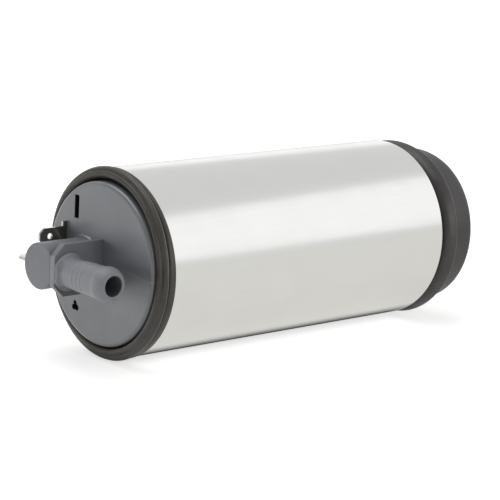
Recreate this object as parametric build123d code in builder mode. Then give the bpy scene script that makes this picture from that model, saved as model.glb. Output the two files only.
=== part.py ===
from build123d import *
import os
from cmath import exp
from math import pi, sqrt

os.makedirs("parts", exist_ok=True)

# Electric fuel pump. All sizes are in millimetres. The origin is on the pump's axis, at
# mid-length of the outer sleeve. The outlet end is towards -X and the inlet end towards +X,
# the hose barb points along -Y, and +Z is up. Names ending in _x are places along the axis.

# Outer sleeve
sleeve_length = 106.4
sleeve_r = 27.0
sleeve_wall = 1.0
sleeve_edge_r = 0.4

# Motor can, with a wider stage bore at its inlet end and a rolled lip that holds the stage
can_front_x = -54.0
can_r = 22.0
can_bore_r = 20.2
stage_bore_r = 20.65
stage_front_x = 22.0
can_lip_t = 1.6
can_lip_bore_r = 17.6
can_roll_r = 1.4

# Pump stage, from front to rear: port plate, gears in their ring, port plate, inlet cover
stage_r = 20.6
outlet_plate_t = 7.0
gear_width = 7.0
inlet_plate_t = 6.0
inlet_cover_t = 8.0
gear_front_x = stage_front_x + outlet_plate_t
gear_rear_x = gear_front_x + gear_width
inlet_plate_rear_x = gear_rear_x + inlet_plate_t
stage_rear_x = inlet_plate_rear_x + inlet_cover_t
can_rear_x = stage_rear_x + can_lip_t

# Gear pair: lobes of the inner gear roll on round teeth of the outer gear
inner_lobes = 6
outer_teeth = inner_lobes + 1
gear_offset = 1.2
tooth_centre_r = 12.0
tooth_r = 3.6
outer_gear_r = 14.0
gear_clearance = 0.06
gear_side_clearance = 0.02
gear_root_r = tooth_centre_r - tooth_r + 2 * gear_offset + gear_clearance
points_per_lobe = 10
coupling_r = 4.2

# Port openings in both plates, arcs about the middle of the gear pair
port_centre_r = 9.3
port_width = 3.0
port_start_angle = 30.0
port_sweep = 120.0

# Outlet cover
cover_face_x = -58.1
cover_r = 23.46
cover_corner_r = 1.2
cover_inside_x = -54.9
cover_root_x = -55.9
cover_skirt_x = -45.0
spigot_x = -49.5
spigot_r = 20.15
cavity_r = 17.4
seal_groove_front_x = -52.7
seal_groove_width = 1.9
seal_groove_r = 18.4
boss_overlap = 0.5

# Outlet post, flange plate and hose barb on the cover
post_y = 7.0
post_r = 6.6
post_end_x = -74.1
post_edge_r = 0.4
post_collar_r = 7.3
post_collar_t = 0.6
post_collar_taper = 30.0
valve_bore_r = 4.9
valve_bore_end_x = -66.0
passage_r = 3.0
plate_outer_y = -1.0
plate_t = 2.1
plate_half_height = 7.45
plate_front_x = -74.6
plate_corner = 3.3
plate_edge_r = 0.25
web_half_height = 4.6
web_front_x = -73.0
barb_x = -69.8
barb_z = -0.5
barb_root_r = 4.2
barb_neck_r = 4.65
barb_neck_y = -16.4
barb_bulge_r = 5.0
barb_bulge_y = -18.2
barb_tip_y = -21.3
barb_tip_r = 3.8
barb_lip_r = 0.25
barb_bore_r = 2.9
barb_bore_end_y = -4.0
elbow_bore_r = 2.2
passage_end_x = barb_x - elbow_bore_r
barb_collar_r = 5.4
barb_collar_t = 0.9
barb_collar_chamfer = 0.3
barb_flare_y = -3.7
ridge_ys = (-8.0, -9.8, -11.6)
ridge_height = 0.12
ridge_width = 0.5

# Slot and small vent in the cover's face
slot_y = 11.1
slot_z = 14.7
slot_width = 2.0
slot_height = 6.7
slot_depth = 3.6
slot_corner_r = 0.3
slot_wall = 1.0
vent_y = 10.3
vent_lobe_z = -14.4
vent_lobe_r = 0.87
vent_lobe_spread = 0.66
vent_neck_width = 1.2
vent_neck_height = 1.4
vent_neck_z = -13.6
vent_knob_y = 10.55
vent_knob_z = -13.05
vent_knob_r = 0.68

# Terminals
blade_t = 0.8
narrow_blade_y = 15.8
narrow_blade_z = 5.87
narrow_blade_width = 4.8
narrow_blade_tip_x = -67.5
narrow_shoulder_x = -59.5
narrow_shoulder_top_z = 9.7
wide_blade_y = 18.7
wide_blade_z = -0.4
wide_blade_width = 6.3
wide_blade_tip_x = -71.0
wide_foot_depth = 2.6
blade_corner = 1.5
blade_hole_r = 0.85
blade_hole_to_tip = 3.5
narrow_tail_z = 4.3
wide_tail_y = 14.9
tail_width = 3.0
tail_end_x = -51.5
tail_gap = 0.02

# Rubber parts
ring_seat_gap = 0.05
front_ring_end_x = -46.0
front_bead_x = -53.3
front_bead_r = 26.95
front_groove_x = -53.85
front_groove_r = 26.3
front_rim_rear_x = -54.35
front_rim_x = -54.7
front_rim_r = 27.5
front_lobe_x = -55.8
front_lobe_r = 27.15
front_valley_x = -56.25
front_valley_r = 26.1
front_nose_x = -56.95
front_nose_r = 25.1
front_mouth_x = -56.4
front_mouth_r = 24.3
front_pocket_r = 24.1
boot_front_x = 44.0
boot_rim_x = 59.3
boot_rim_r = 27.45
boot_rim_t = 1.8
boot_rim_bevel = 0.25
boot_shoulder_r = 26.4
boot_shoulder_t = 0.6
boot_back_r = 24.2
boot_end_x = 69.2
boot_ledge_r = 20.4
boot_ledge_x = 60.1
boot_mouth_r = 21.45
boot_edge_r = 0.9

# Rotor
shaft_r = 3.0
shaft_front_x = -46.3
shaft_rear_x = 35.0
shaft_flats = 4.6
press_gap = 0.02
running_gap = 0.03
commutator_face_x = -36.0
segment_t = 2.6
segment_inner_r = 5.5
segment_outer_r = 12.6
segment_gap = 0.6
segment_count = 8
riser_t = 1.2
riser_length = 1.6
riser_width = 1.4
riser_overlap = 0.2
hub_set_back = 0.3
hub_flange_t = 2.0
hub_r = 5.0
hub_rear_x = -30.2
core_front_x = -24.0
core_rear_x = 12.0
core_r = 15.2
core_slots = 8
slot_inner_r = 7.4
slot_outer_r = 13.6
slot_inner_half = 1.2
slot_outer_half = 3.6
slot_mouth = 2.0
insulator_t = 1.0
insulator_inset = 0.1
winding_inset = 0.3
winding_gap = 0.2
end_turn_length = 4.6
end_turn_inner_r = 7.2
end_turn_outer_r = 13.3
end_turn_corner_r = 1.6
washer_r = 5.4
washer_t = 0.7
washer_gap = 0.1
small_chamfer = 0.4

# Field magnets and their clips
magnet_front_x = -27.0
magnet_rear_x = 15.0
magnet_inner_r = 15.6
magnet_outer_r = 20.15
magnet_half_angle = 62.0
magnet_chamfer = 0.5
clip_t = 0.6
clip_foot_r = 15.9
clip_inset = 1.0
clip_half_angle = 26.6
clip_leg_angle = 2.2

# Brush gear
holder_plate_front_x = -44.0
holder_plate_rear_x = -40.0
holder_rim_bore_r = 18.4
holder_hub_r = 6.6
holder_hub_front_x = -48.6
holder_hub_rear_x = -39.2
bush_r = 5.0
bush_length = 7.6
bush_inset = 0.2
brush_z = 9.0
brush_height = 5.0
brush_width = 6.0
brush_length = 9.0
brush_gap = 0.05
brush_side_gap = 0.08
tube_wall = 1.0
tube_end_x = -52.6
tube_rear_x = -37.6
brush_spring_r = 1.9
brush_spring_wire_r = 0.25
brush_spring_turns = 5
shunt_r = 0.35
shunt_hole_r = 0.7
shunt_turn_x = -53.7
shunt_bend_r = 1.2
shunt_end_gap = 0.25
upper_shunt_bend = (9.0, 8.4)
lower_shunt_bend = (8.0, -7.2)
flow_hole_r = 2.0
flow_hole_centre_r = 15.8
choke_y = 12.2
upper_choke_z = 7.0
lower_choke_z = -5.6
choke_front_x = -52.0
choke_core_r = 1.4
choke_wire_r = 0.3
choke_turns = 8
choke_coil_front_x = -51.2
choke_coil_rear_x = -44.6

# Check valve in the post
valve_seat_bore_r = 2.4
valve_seat_flange_r = 6.0
valve_seat_flange_t = 0.8
valve_seat_front_x = -57.4
valve_seat_lip_r = 3.1
valve_seat_lip = 0.5
valve_lip_gap = 0.04
washer_front_x = -58.7
valve_washer_r = 3.6
valve_washer_bore_r = 1.0
poppet_head_t = 1.5
poppet_head_r = 3.9
poppet_fin_r = 4.84
poppet_fin_t = 1.2
poppet_nose_x = -56.8
poppet_stem_r = 1.6
poppet_stem_x = -63.6
check_spring_r = 3.5
check_spring_wire_r = 0.28
check_spring_turns = 5

# Relief valve behind the vent
relief_y = 9.6
relief_z = -12.4
relief_boss_r = 3.9
relief_bore_r = 2.5
relief_end_x = -46.6
relief_chamber_x = -56.4
relief_seat_t = 2.0
relief_seat_bore_r = 1.1
ball_r = 2.0
ball_seat_gap = 0.03
relief_spring_r = 1.6
relief_spring_wire_r = 0.25
relief_spring_turns = 4.5

# Inlet end
inlet_hole_r = 5.0
inlet_boss_r = 7.5
inlet_boss_t = 4.0
plenum_r = 15.0
plenum_depth = 3.5
inlet_groove_front_x = 45.4
inlet_groove_r = 18.9
screw_circle_r = 17.9
screw_r = 1.25
screw_head_r = 2.25
screw_head_t = 2.5
screw_head_gap = 0.15
screw_key_r = 1.2
screw_key_depth = 1.5
screw_depth = 5.0
screw_end_gap = 0.4
screw_start_angle = 30.0
strainer_front_x = 60.5
strainer_ring_t = 3.0
strainer_ring_bore_r = 19.4
strainer_hub_r = 3.2
strainer_spoke_root = 0.5
strainer_spoke_width = 1.6
strainer_spoke_t = 2.0
strainer_spokes = 6
mesh_t = 0.4


def ring(front_x, rear_x, outer_r, inner_r):
    """Plain ring about the pump's axis."""
    with BuildPart() as band:
        with BuildSketch(Plane.YZ.offset(front_x)):
            Circle(outer_r)
            Circle(inner_r, mode=Mode.SUBTRACT)
        extrude(amount=rear_x - front_x)
    return band


def coil_along_x(front_x, rear_x, y, z, coil_r, wire_r, turns):
    """Coil of round wire along the pump's axis, its wire between front_x and rear_x."""
    height = rear_x - front_x - 2 * wire_r
    with BuildPart() as coil:
        with BuildLine():
            turn_line = Helix(height / turns, height, coil_r, (front_x + wire_r, y, z), (1, 0, 0))
        with BuildSketch(Plane(turn_line @ 0, z_dir=turn_line % 0)):
            Circle(wire_r)
        sweep(path=turn_line, is_frenet=True)
    return coil


def seal_ring(groove_front_x, groove_r, bore_r):
    """O-ring about the pump's axis, between the bottom of a groove and the bore around it."""
    with BuildPart() as seal:
        with BuildSketch(Plane.XY):
            with Locations((groove_front_x + seal_groove_width / 2, (groove_r + bore_r) / 2)):
                Circle((bore_r - groove_r) / 2 - ring_seat_gap)
        revolve(axis=Axis.X)
    return seal


def sector(inner_r, outer_r, middle_angle, half_angle):
    """Part of a flat ring, to be added to a sketch."""
    with BuildSketch() as face:
        with BuildLine():
            outer_arc = CenterArc((0, 0), outer_r, middle_angle - half_angle, 2 * half_angle)
            inner_arc = CenterArc((0, 0), inner_r, middle_angle - half_angle, 2 * half_angle)
            Line(outer_arc @ 0, inner_arc @ 0)
            Line(outer_arc @ 1, inner_arc @ 1)
        make_face()
    return face.sketch


# Outer sleeve: thin drawn tube with rounded edges
with BuildPart() as outer_sleeve:
    add(ring(-sleeve_length / 2, sleeve_length / 2, sleeve_r, sleeve_r - sleeve_wall).part)
    fillet(outer_sleeve.edges().filter_by(GeomType.CIRCLE).group_by(SortBy.RADIUS)[-1], sleeve_edge_r)
outer_sleeve.part.label = "outer_sleeve"
export_step(outer_sleeve.part, "parts/outer_sleeve.step")


# Motor can: steel tube that carries the magnets' flux, its inlet edge rolled inwards
with BuildPart() as motor_can:
    with BuildSketch(Plane.XY):
        with BuildLine():
            Polyline(
                (can_front_x, can_bore_r),
                (stage_front_x, can_bore_r),
                (stage_front_x, stage_bore_r),
                (stage_rear_x, stage_bore_r),
                (stage_rear_x, can_lip_bore_r),
                (can_rear_x, can_lip_bore_r),
                (can_rear_x, can_r),
                (can_front_x, can_r),
                close=True,
            )
        make_face()
    revolve(axis=Axis.X)
    rear_edges = motor_can.edges().filter_by(GeomType.CIRCLE).group_by(Axis.X)[-1]
    fillet(rear_edges.sort_by(SortBy.RADIUS)[-1], can_roll_r)
motor_can.part.label = "motor_can"
export_step(motor_can.part, "parts/motor_can.step")


# Flange plate of the outlet cover: two cut corners and rounded edges, its root inside the dish
plate_corner_x = plate_front_x + plate_corner
with BuildPart() as flange_plate:
    with BuildSketch(Plane.XZ.offset(-plate_outer_y)):
        with BuildLine():
            Polyline(
                (cover_root_x, plate_half_height),
                (plate_corner_x, plate_half_height),
                (plate_front_x, plate_half_height - plate_corner),
                (plate_front_x, plate_corner - plate_half_height),
                (plate_corner_x, -plate_half_height),
                (cover_root_x, -plate_half_height),
                close=True,
            )
        make_face()
    extrude(amount=-plate_t)
    outer_edges = flange_plate.edges().filter_by(Axis.Y, reverse=True)
    fillet(outer_edges.group_by(Axis.X)[:-1], plate_edge_r)


# Outlet cover: one moulding, a dish with a flat face that rounds off at its edge, a skirt over
# the can and a spigot inside it, and on the face the post, the flange plate and the hose barb
with BuildPart() as outlet_cover:
    with BuildSketch(Plane.XY):
        with BuildLine():
            Polyline(
                (cover_face_x, 0),
                (cover_face_x, cover_r),
                (cover_skirt_x, cover_r),
                (cover_skirt_x, can_r + ring_seat_gap),
                (can_front_x, can_r + ring_seat_gap),
                (can_front_x, spigot_r),
                (spigot_x, spigot_r),
                (spigot_x, cavity_r),
                (cover_inside_x, cavity_r),
                (cover_inside_x, 0),
                close=True,
            )
        make_face()
        with Locations((seal_groove_front_x + seal_groove_width / 2, (seal_groove_r + spigot_r) / 2)):
            Rectangle(seal_groove_width, spigot_r - seal_groove_r, mode=Mode.SUBTRACT)
    revolve(axis=Axis.X)
    face_edge = outlet_cover.edges().filter_by(GeomType.CIRCLE).filter_by_position(
        Axis.X, cover_face_x - 0.01, cover_face_x + 0.01
    )
    fillet(face_edge, cover_corner_r)

    # post with its base collar
    with BuildSketch(Plane.YZ.offset(cover_inside_x)):
        with Locations((post_y, 0)):
            Circle(post_r)
    extrude(amount=post_end_x - cover_inside_x)
    fillet(outlet_cover.edges().group_by(Axis.X)[0], post_edge_r)
    with BuildSketch(Plane.YZ.offset(cover_face_x)):
        with Locations((post_y, 0)):
            Circle(post_collar_r)
    extrude(amount=-post_collar_t, taper=post_collar_taper)

    # flange plate, and the web behind it
    add(flange_plate.part)
    with BuildSketch(Plane.XZ.offset(-plate_outer_y - plate_t / 2)):
        with Locations(((web_front_x + cover_root_x) / 2, 0)):
            Rectangle(cover_root_x - web_front_x, 2 * web_half_height)
    extrude(amount=-(post_y - plate_outer_y - plate_t / 2))

    # hose barb: collar and flare cut flush with the plate's front edge, ridged shaft, olive end
    with BuildSketch(Plane.XY.offset(barb_z)):
        with BuildLine():
            collar_outline = Polyline(
                (barb_x, plate_outer_y),
                (barb_x + barb_collar_r, plate_outer_y),
                (barb_x + barb_collar_r, plate_outer_y - barb_collar_t + barb_collar_chamfer),
                (barb_x + barb_collar_r - barb_collar_chamfer, plate_outer_y - barb_collar_t),
            )
            shaft_outline = Line((barb_x + barb_root_r, barb_flare_y), (barb_x + barb_neck_r, barb_neck_y))
            Spline(
                collar_outline @ 1,
                shaft_outline @ 0,
                tangents=((barb_root_r - barb_collar_r, barb_flare_y - plate_outer_y), shaft_outline % 0),
            )
            bulge_start = Spline(
                shaft_outline @ 1,
                (barb_x + barb_bulge_r, barb_bulge_y),
                tangents=(shaft_outline % 1, (0, -1)),
            )
            TangentArc(bulge_start @ 1, (barb_x + barb_tip_r, barb_tip_y), tangent=(0, -1))
            Polyline((barb_x + barb_tip_r, barb_tip_y), (barb_x, barb_tip_y), (barb_x, plate_outer_y))
        make_face()
        barb_slope = (barb_neck_r - barb_root_r) / (barb_neck_y - barb_flare_y)
        for ridge_y in ridge_ys:
            ridge_base_r = barb_root_r + barb_slope * (ridge_y - barb_flare_y)
            with BuildLine():
                Polyline(
                    (barb_x, ridge_y - ridge_width),
                    (barb_x + ridge_base_r, ridge_y - ridge_width),
                    (barb_x + ridge_base_r + ridge_height, ridge_y - ridge_width / 4),
                    (barb_x + ridge_base_r + ridge_height, ridge_y + ridge_width / 4),
                    (barb_x + ridge_base_r, ridge_y + ridge_width),
                    (barb_x, ridge_y + ridge_width),
                    close=True,
                )
            make_face()
    revolve(axis=Axis((barb_x, 0, barb_z), (0, 1, 0)))
    with BuildSketch(Plane.XY):
        with Locations((plate_front_x - barb_collar_t, (plate_outer_y + barb_flare_y) / 2)):
            Rectangle(2 * barb_collar_t, plate_outer_y - barb_flare_y)
    extrude(amount=plate_half_height, both=True, mode=Mode.SUBTRACT)

    # inner bosses behind the slot and around the relief valve
    with BuildSketch(Plane.YZ.offset(cover_inside_x)):
        with Locations((slot_y, slot_z)):
            Rectangle(slot_width + 2 * slot_wall, slot_height + 2 * slot_wall)
        Circle(cavity_r + boss_overlap, mode=Mode.INTERSECT)
    extrude(amount=slot_depth - (cover_inside_x - cover_face_x) + slot_wall)
    with BuildSketch(Plane.YZ.offset(cover_inside_x)):
        with Locations((relief_y, relief_z)):
            Circle(relief_boss_r)
        Circle(cavity_r + boss_overlap, mode=Mode.INTERSECT)
    extrude(amount=relief_end_x - cover_inside_x)

    # flow way: valve bore and passage in the post, elbow and mouth in the barb
    with BuildSketch(Plane.YZ.offset(cover_inside_x)):
        with Locations((post_y, 0)):
            Circle(valve_bore_r)
    extrude(amount=valve_bore_end_x - cover_inside_x, mode=Mode.SUBTRACT)
    with BuildSketch(Plane.YZ.offset(valve_bore_end_x)):
        with Locations((post_y, 0)):
            Circle(passage_r)
    extrude(amount=passage_end_x - valve_bore_end_x, mode=Mode.SUBTRACT)
    with BuildSketch(Plane.XZ.offset(-post_y)):
        with Locations((barb_x, barb_z)):
            Circle(elbow_bore_r)
    extrude(amount=post_y - barb_bore_end_y, mode=Mode.SUBTRACT)
    with BuildSketch(Plane.XZ.offset(-barb_bore_end_y)):
        with Locations((barb_x, barb_z)):
            Circle(barb_bore_r)
    extrude(amount=barb_bore_end_y - barb_tip_y, mode=Mode.SUBTRACT)
    tip_edges = outlet_cover.edges().filter_by_position(Axis.Y, barb_tip_y - 0.01, barb_tip_y + 0.01)
    fillet(tip_edges, barb_lip_r)

    # blind slot, relief chamber and vent
    with BuildSketch(Plane.YZ.offset(cover_face_x)):
        with Locations((slot_y, slot_z)):
            RectangleRounded(slot_width, slot_height, slot_corner_r)
    extrude(amount=slot_depth, mode=Mode.SUBTRACT)
    with BuildSketch(Plane.YZ.offset(relief_end_x)):
        with Locations((relief_y, relief_z)):
            Circle(relief_bore_r)
    extrude(amount=relief_chamber_x - relief_end_x, mode=Mode.SUBTRACT)
    with BuildSketch(Plane.YZ.offset(cover_face_x)):
        with Locations((vent_y - vent_lobe_spread, vent_lobe_z), (vent_y + vent_lobe_spread, vent_lobe_z)):
            Circle(vent_lobe_r)
        with Locations((vent_y, vent_neck_z)):
            Rectangle(vent_neck_width, vent_neck_height)
        with Locations((vent_knob_y, vent_knob_z)):
            Circle(vent_knob_r)
    extrude(amount=relief_chamber_x - cover_face_x, mode=Mode.SUBTRACT)

    # ways for the two terminals
    with BuildSketch(Plane.YZ.offset(cover_face_x)):
        with Locations((narrow_blade_y, narrow_tail_z)):
            Rectangle(blade_t + 2 * tail_gap, tail_width + 2 * tail_gap)
        with Locations((wide_tail_y, wide_blade_z)):
            Rectangle(tail_width + 2 * tail_gap, blade_t + 2 * tail_gap)
    extrude(amount=cover_inside_x - cover_face_x, mode=Mode.SUBTRACT)
    wide_foot_inner_y = wide_tail_y - tail_width / 2
    wide_foot_outer_y = wide_blade_y + wide_blade_width / 2
    with BuildSketch(Plane.YZ.offset(cover_face_x)):
        with Locations(((wide_foot_inner_y + wide_foot_outer_y) / 2, wide_blade_z)):
            Rectangle(wide_foot_outer_y - wide_foot_inner_y + 2 * tail_gap, blade_t + 2 * tail_gap)
    extrude(amount=wide_foot_depth, mode=Mode.SUBTRACT)
outlet_cover.part.label = "outlet_cover"
export_step(outlet_cover.part, "parts/outlet_cover.step")


# Front rubber ring: seats between the cover's skirt and the sleeve, with two beads in front
with BuildPart() as front_rubber_ring:
    with BuildSketch(Plane.XY):
        with BuildLine():
            Polyline(
                (front_mouth_x, front_mouth_r),
                (front_groove_x, front_pocket_r),
                (front_bead_x, cover_r + ring_seat_gap),
                (front_ring_end_x, cover_r + ring_seat_gap),
                (front_ring_end_x, sleeve_r - sleeve_wall - ring_seat_gap),
                (-sleeve_length / 2 - press_gap, sleeve_r - sleeve_wall - ring_seat_gap),
                (-sleeve_length / 2 - press_gap, front_bead_r),
                (front_bead_x, front_bead_r),
                (front_groove_x, front_groove_r),
                (front_rim_rear_x, front_rim_r),
                (front_rim_x, front_rim_r),
            )
            ThreePointArc(
                (front_rim_x, front_rim_r),
                (front_lobe_x, front_lobe_r),
                (front_valley_x, front_valley_r),
            )
            ThreePointArc(
                (front_valley_x, front_valley_r),
                (front_nose_x, front_nose_r),
                (front_mouth_x, front_mouth_r),
            )
        make_face()
    revolve(axis=Axis.X)
front_rubber_ring.part.label = "front_rubber_ring"
export_step(front_rubber_ring.part, "parts/front_rubber_ring.step")


# Rear rubber boot: grips the can inside the sleeve, flares to a rim, and ends in an open cup
with BuildPart() as rear_rubber_boot:
    with BuildSketch(Plane.XY):
        with BuildLine():
            Polyline(
                (boot_front_x, can_r + ring_seat_gap),
                (can_rear_x + press_gap, can_r + ring_seat_gap),
                (can_rear_x + press_gap, boot_ledge_r),
                (boot_ledge_x, boot_ledge_r),
                (boot_ledge_x, boot_mouth_r),
                (boot_end_x, boot_mouth_r),
                (boot_end_x, boot_back_r),
                (boot_rim_x + boot_shoulder_t, boot_back_r),
                (boot_rim_x + boot_rim_bevel, boot_rim_r - boot_rim_bevel),
                (boot_rim_x, boot_rim_r),
                (boot_rim_x - boot_rim_t, boot_rim_r - boot_rim_bevel),
                (sleeve_length / 2 + boot_shoulder_t, boot_shoulder_r),
                (sleeve_length / 2 + press_gap, boot_shoulder_r),
                (sleeve_length / 2 + press_gap, sleeve_r - sleeve_wall - ring_seat_gap),
                (boot_front_x, sleeve_r - sleeve_wall - ring_seat_gap),
                close=True,
            )
        make_face()
    revolve(axis=Axis.X)
    fillet(rear_rubber_boot.edges().filter_by(GeomType.CIRCLE).group_by(Axis.X)[-1], boot_edge_r)
rear_rubber_boot.part.label = "rear_rubber_boot"
export_step(rear_rubber_boot.part, "parts/rear_rubber_boot.step")


# O-rings between the can and the cover's spigot, and between the can and the inlet cover
cover_seal_ring = seal_ring(seal_groove_front_x, seal_groove_r, can_bore_r)
cover_seal_ring.part.label = "cover_seal_ring"
export_step(cover_seal_ring.part, "parts/cover_seal_ring.step")
inlet_seal_ring = seal_ring(inlet_groove_front_x, inlet_groove_r, stage_bore_r)
inlet_seal_ring.part.label = "inlet_seal_ring"
export_step(inlet_seal_ring.part, "parts/inlet_seal_ring.step")


# Narrow terminal: stamped blade on edge, with a shoulder on the cover and a tail through it
with BuildPart() as narrow_terminal:
    with BuildSketch(Plane.XZ.offset(-(narrow_blade_y + blade_t / 2))):
        with BuildLine():
            Polyline(
                (narrow_blade_tip_x, narrow_blade_z + narrow_blade_width / 2 - blade_corner),
                (narrow_blade_tip_x + blade_corner, narrow_blade_z + narrow_blade_width / 2),
                (narrow_shoulder_x, narrow_blade_z + narrow_blade_width / 2),
                (narrow_shoulder_x, narrow_shoulder_top_z),
                (cover_face_x - press_gap, narrow_shoulder_top_z),
                (cover_face_x - press_gap, narrow_tail_z + tail_width / 2),
                (tail_end_x, narrow_tail_z + tail_width / 2),
                (tail_end_x, narrow_tail_z - tail_width / 2),
                (cover_face_x - press_gap, narrow_tail_z - tail_width / 2),
                (cover_face_x - press_gap, narrow_blade_z - narrow_blade_width / 2),
                (narrow_blade_tip_x + blade_corner, narrow_blade_z - narrow_blade_width / 2),
                (narrow_blade_tip_x, narrow_blade_z - narrow_blade_width / 2 + blade_corner),
                close=True,
            )
        make_face()
        with Locations((narrow_blade_tip_x + blade_hole_to_tip, narrow_blade_z)):
            Circle(blade_hole_r, mode=Mode.SUBTRACT)
    extrude(amount=blade_t)
narrow_terminal.part.label = "narrow_terminal"
export_step(narrow_terminal.part, "parts/narrow_terminal.step")


# Wide terminal: stamped blade lying flat, its foot let into the cover and its tail inside
with BuildPart() as wide_terminal:
    with BuildSketch(Plane.XY.offset(wide_blade_z - blade_t / 2)):
        with BuildLine():
            Polyline(
                (wide_blade_tip_x, wide_blade_y - wide_blade_width / 2 + blade_corner),
                (wide_blade_tip_x + blade_corner, wide_blade_y - wide_blade_width / 2),
                (cover_face_x, wide_blade_y - wide_blade_width / 2),
                (cover_face_x, wide_foot_inner_y),
                (tail_end_x, wide_foot_inner_y),
                (tail_end_x, wide_foot_inner_y + tail_width),
                (cover_face_x + wide_foot_depth - press_gap, wide_foot_inner_y + tail_width),
                (cover_face_x + wide_foot_depth - press_gap, wide_foot_outer_y),
                (wide_blade_tip_x + blade_corner, wide_blade_y + wide_blade_width / 2),
                (wide_blade_tip_x, wide_blade_y + wide_blade_width / 2 - blade_corner),
                close=True,
            )
        make_face()
        with Locations((wide_blade_tip_x + blade_hole_to_tip, wide_blade_y)):
            Circle(blade_hole_r, mode=Mode.SUBTRACT)
    extrude(amount=blade_t)
wide_terminal.part.label = "wide_terminal"
export_step(wide_terminal.part, "parts/wide_terminal.step")


# Check valve seat: pressed into the post's bore from inside, with a raised sealing lip
with BuildPart() as check_valve_seat:
    with BuildSketch(Plane.YZ.offset(valve_seat_front_x)):
        with Locations((post_y, 0)):
            Circle(valve_bore_r - press_gap)
    extrude(amount=cover_inside_x - valve_seat_front_x)
    with BuildSketch(Plane.YZ.offset(cover_inside_x)):
        with Locations((post_y, 0)):
            Circle(valve_seat_flange_r)
    extrude(amount=valve_seat_flange_t)
    with BuildSketch(Plane.YZ.offset(valve_seat_front_x)):
        with Locations((post_y, 0)):
            Circle(valve_seat_lip_r)
    extrude(amount=-valve_seat_lip)
    with BuildSketch(Plane.YZ.offset(cover_inside_x + valve_seat_flange_t)):
        with Locations((post_y, 0)):
            Circle(valve_seat_bore_r)
    seat_length = cover_inside_x + valve_seat_flange_t - (valve_seat_front_x - valve_seat_lip)
    extrude(amount=-seat_length, mode=Mode.SUBTRACT)
check_valve_seat.part.label = "check_valve_seat"
export_step(check_valve_seat.part, "parts/check_valve_seat.step")


# Check valve poppet: head with three guide fins, a nose through the washer and a spring stem
with BuildPart() as check_valve_poppet:
    with BuildSketch(Plane.YZ.offset(washer_front_x)):
        with Locations((post_y, 0)):
            Circle(poppet_head_r)
            with PolarLocations(poppet_head_r, 3):
                Rectangle(2 * (poppet_fin_r - poppet_head_r), poppet_fin_t)
            Circle(poppet_fin_r, mode=Mode.INTERSECT)
    extrude(amount=-poppet_head_t)
    with BuildSketch(Plane.YZ.offset(washer_front_x)):
        with Locations((post_y, 0)):
            Circle(valve_washer_bore_r - press_gap)
    extrude(amount=poppet_nose_x - washer_front_x)
    with BuildSketch(Plane.YZ.offset(washer_front_x)):
        with Locations((post_y, 0)):
            Circle(poppet_stem_r)
    extrude(amount=poppet_stem_x - washer_front_x)
    chamfer(check_valve_poppet.edges().group_by(Axis.X)[0], small_chamfer)
check_valve_poppet.part.label = "check_valve_poppet"
export_step(check_valve_poppet.part, "parts/check_valve_poppet.step")


# Check valve washer: rubber disc on the poppet that closes on the seat's lip
with BuildPart() as check_valve_washer:
    with BuildSketch(Plane.YZ.offset(washer_front_x)):
        with Locations((post_y, 0)):
            Circle(valve_washer_r)
            Circle(valve_washer_bore_r, mode=Mode.SUBTRACT)
    extrude(amount=valve_seat_front_x - valve_seat_lip - valve_lip_gap - washer_front_x)
check_valve_washer.part.label = "check_valve_washer"
export_step(check_valve_washer.part, "parts/check_valve_washer.step")


# Check valve spring: between the end of the post's bore and the poppet's head
check_valve_spring = coil_along_x(
    valve_bore_end_x,
    washer_front_x - poppet_head_t,
    post_y,
    0,
    check_spring_r,
    check_spring_wire_r,
    check_spring_turns,
)
check_valve_spring.part.label = "check_valve_spring"
export_step(check_valve_spring.part, "parts/check_valve_spring.step")


# Relief valve: pressed-in seat, steel ball, and a spring between the ball and the cover
with BuildPart() as relief_valve_seat:
    with BuildSketch(Plane.YZ.offset(relief_end_x)):
        with Locations((relief_y, relief_z)):
            Circle(relief_bore_r - press_gap)
            Circle(relief_seat_bore_r, mode=Mode.SUBTRACT)
    extrude(amount=-relief_seat_t)
relief_valve_seat.part.label = "relief_valve_seat"
export_step(relief_valve_seat.part, "parts/relief_valve_seat.step")

ball_x = relief_end_x - relief_seat_t - sqrt(ball_r**2 - relief_seat_bore_r**2) - ball_seat_gap
with BuildPart() as relief_valve_ball:
    with Locations((ball_x, relief_y, relief_z)):
        Sphere(ball_r)
relief_valve_ball.part.label = "relief_valve_ball"
export_step(relief_valve_ball.part, "parts/relief_valve_ball.step")

ball_spring_clear_r = ball_r + relief_spring_wire_r + press_gap
relief_valve_spring = coil_along_x(
    relief_chamber_x,
    ball_x - sqrt(ball_spring_clear_r**2 - relief_spring_r**2) + relief_spring_wire_r,
    relief_y,
    relief_z,
    relief_spring_r,
    relief_spring_wire_r,
    relief_spring_turns,
)
relief_valve_spring.part.label = "relief_valve_spring"
export_step(relief_valve_spring.part, "parts/relief_valve_spring.step")


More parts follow.
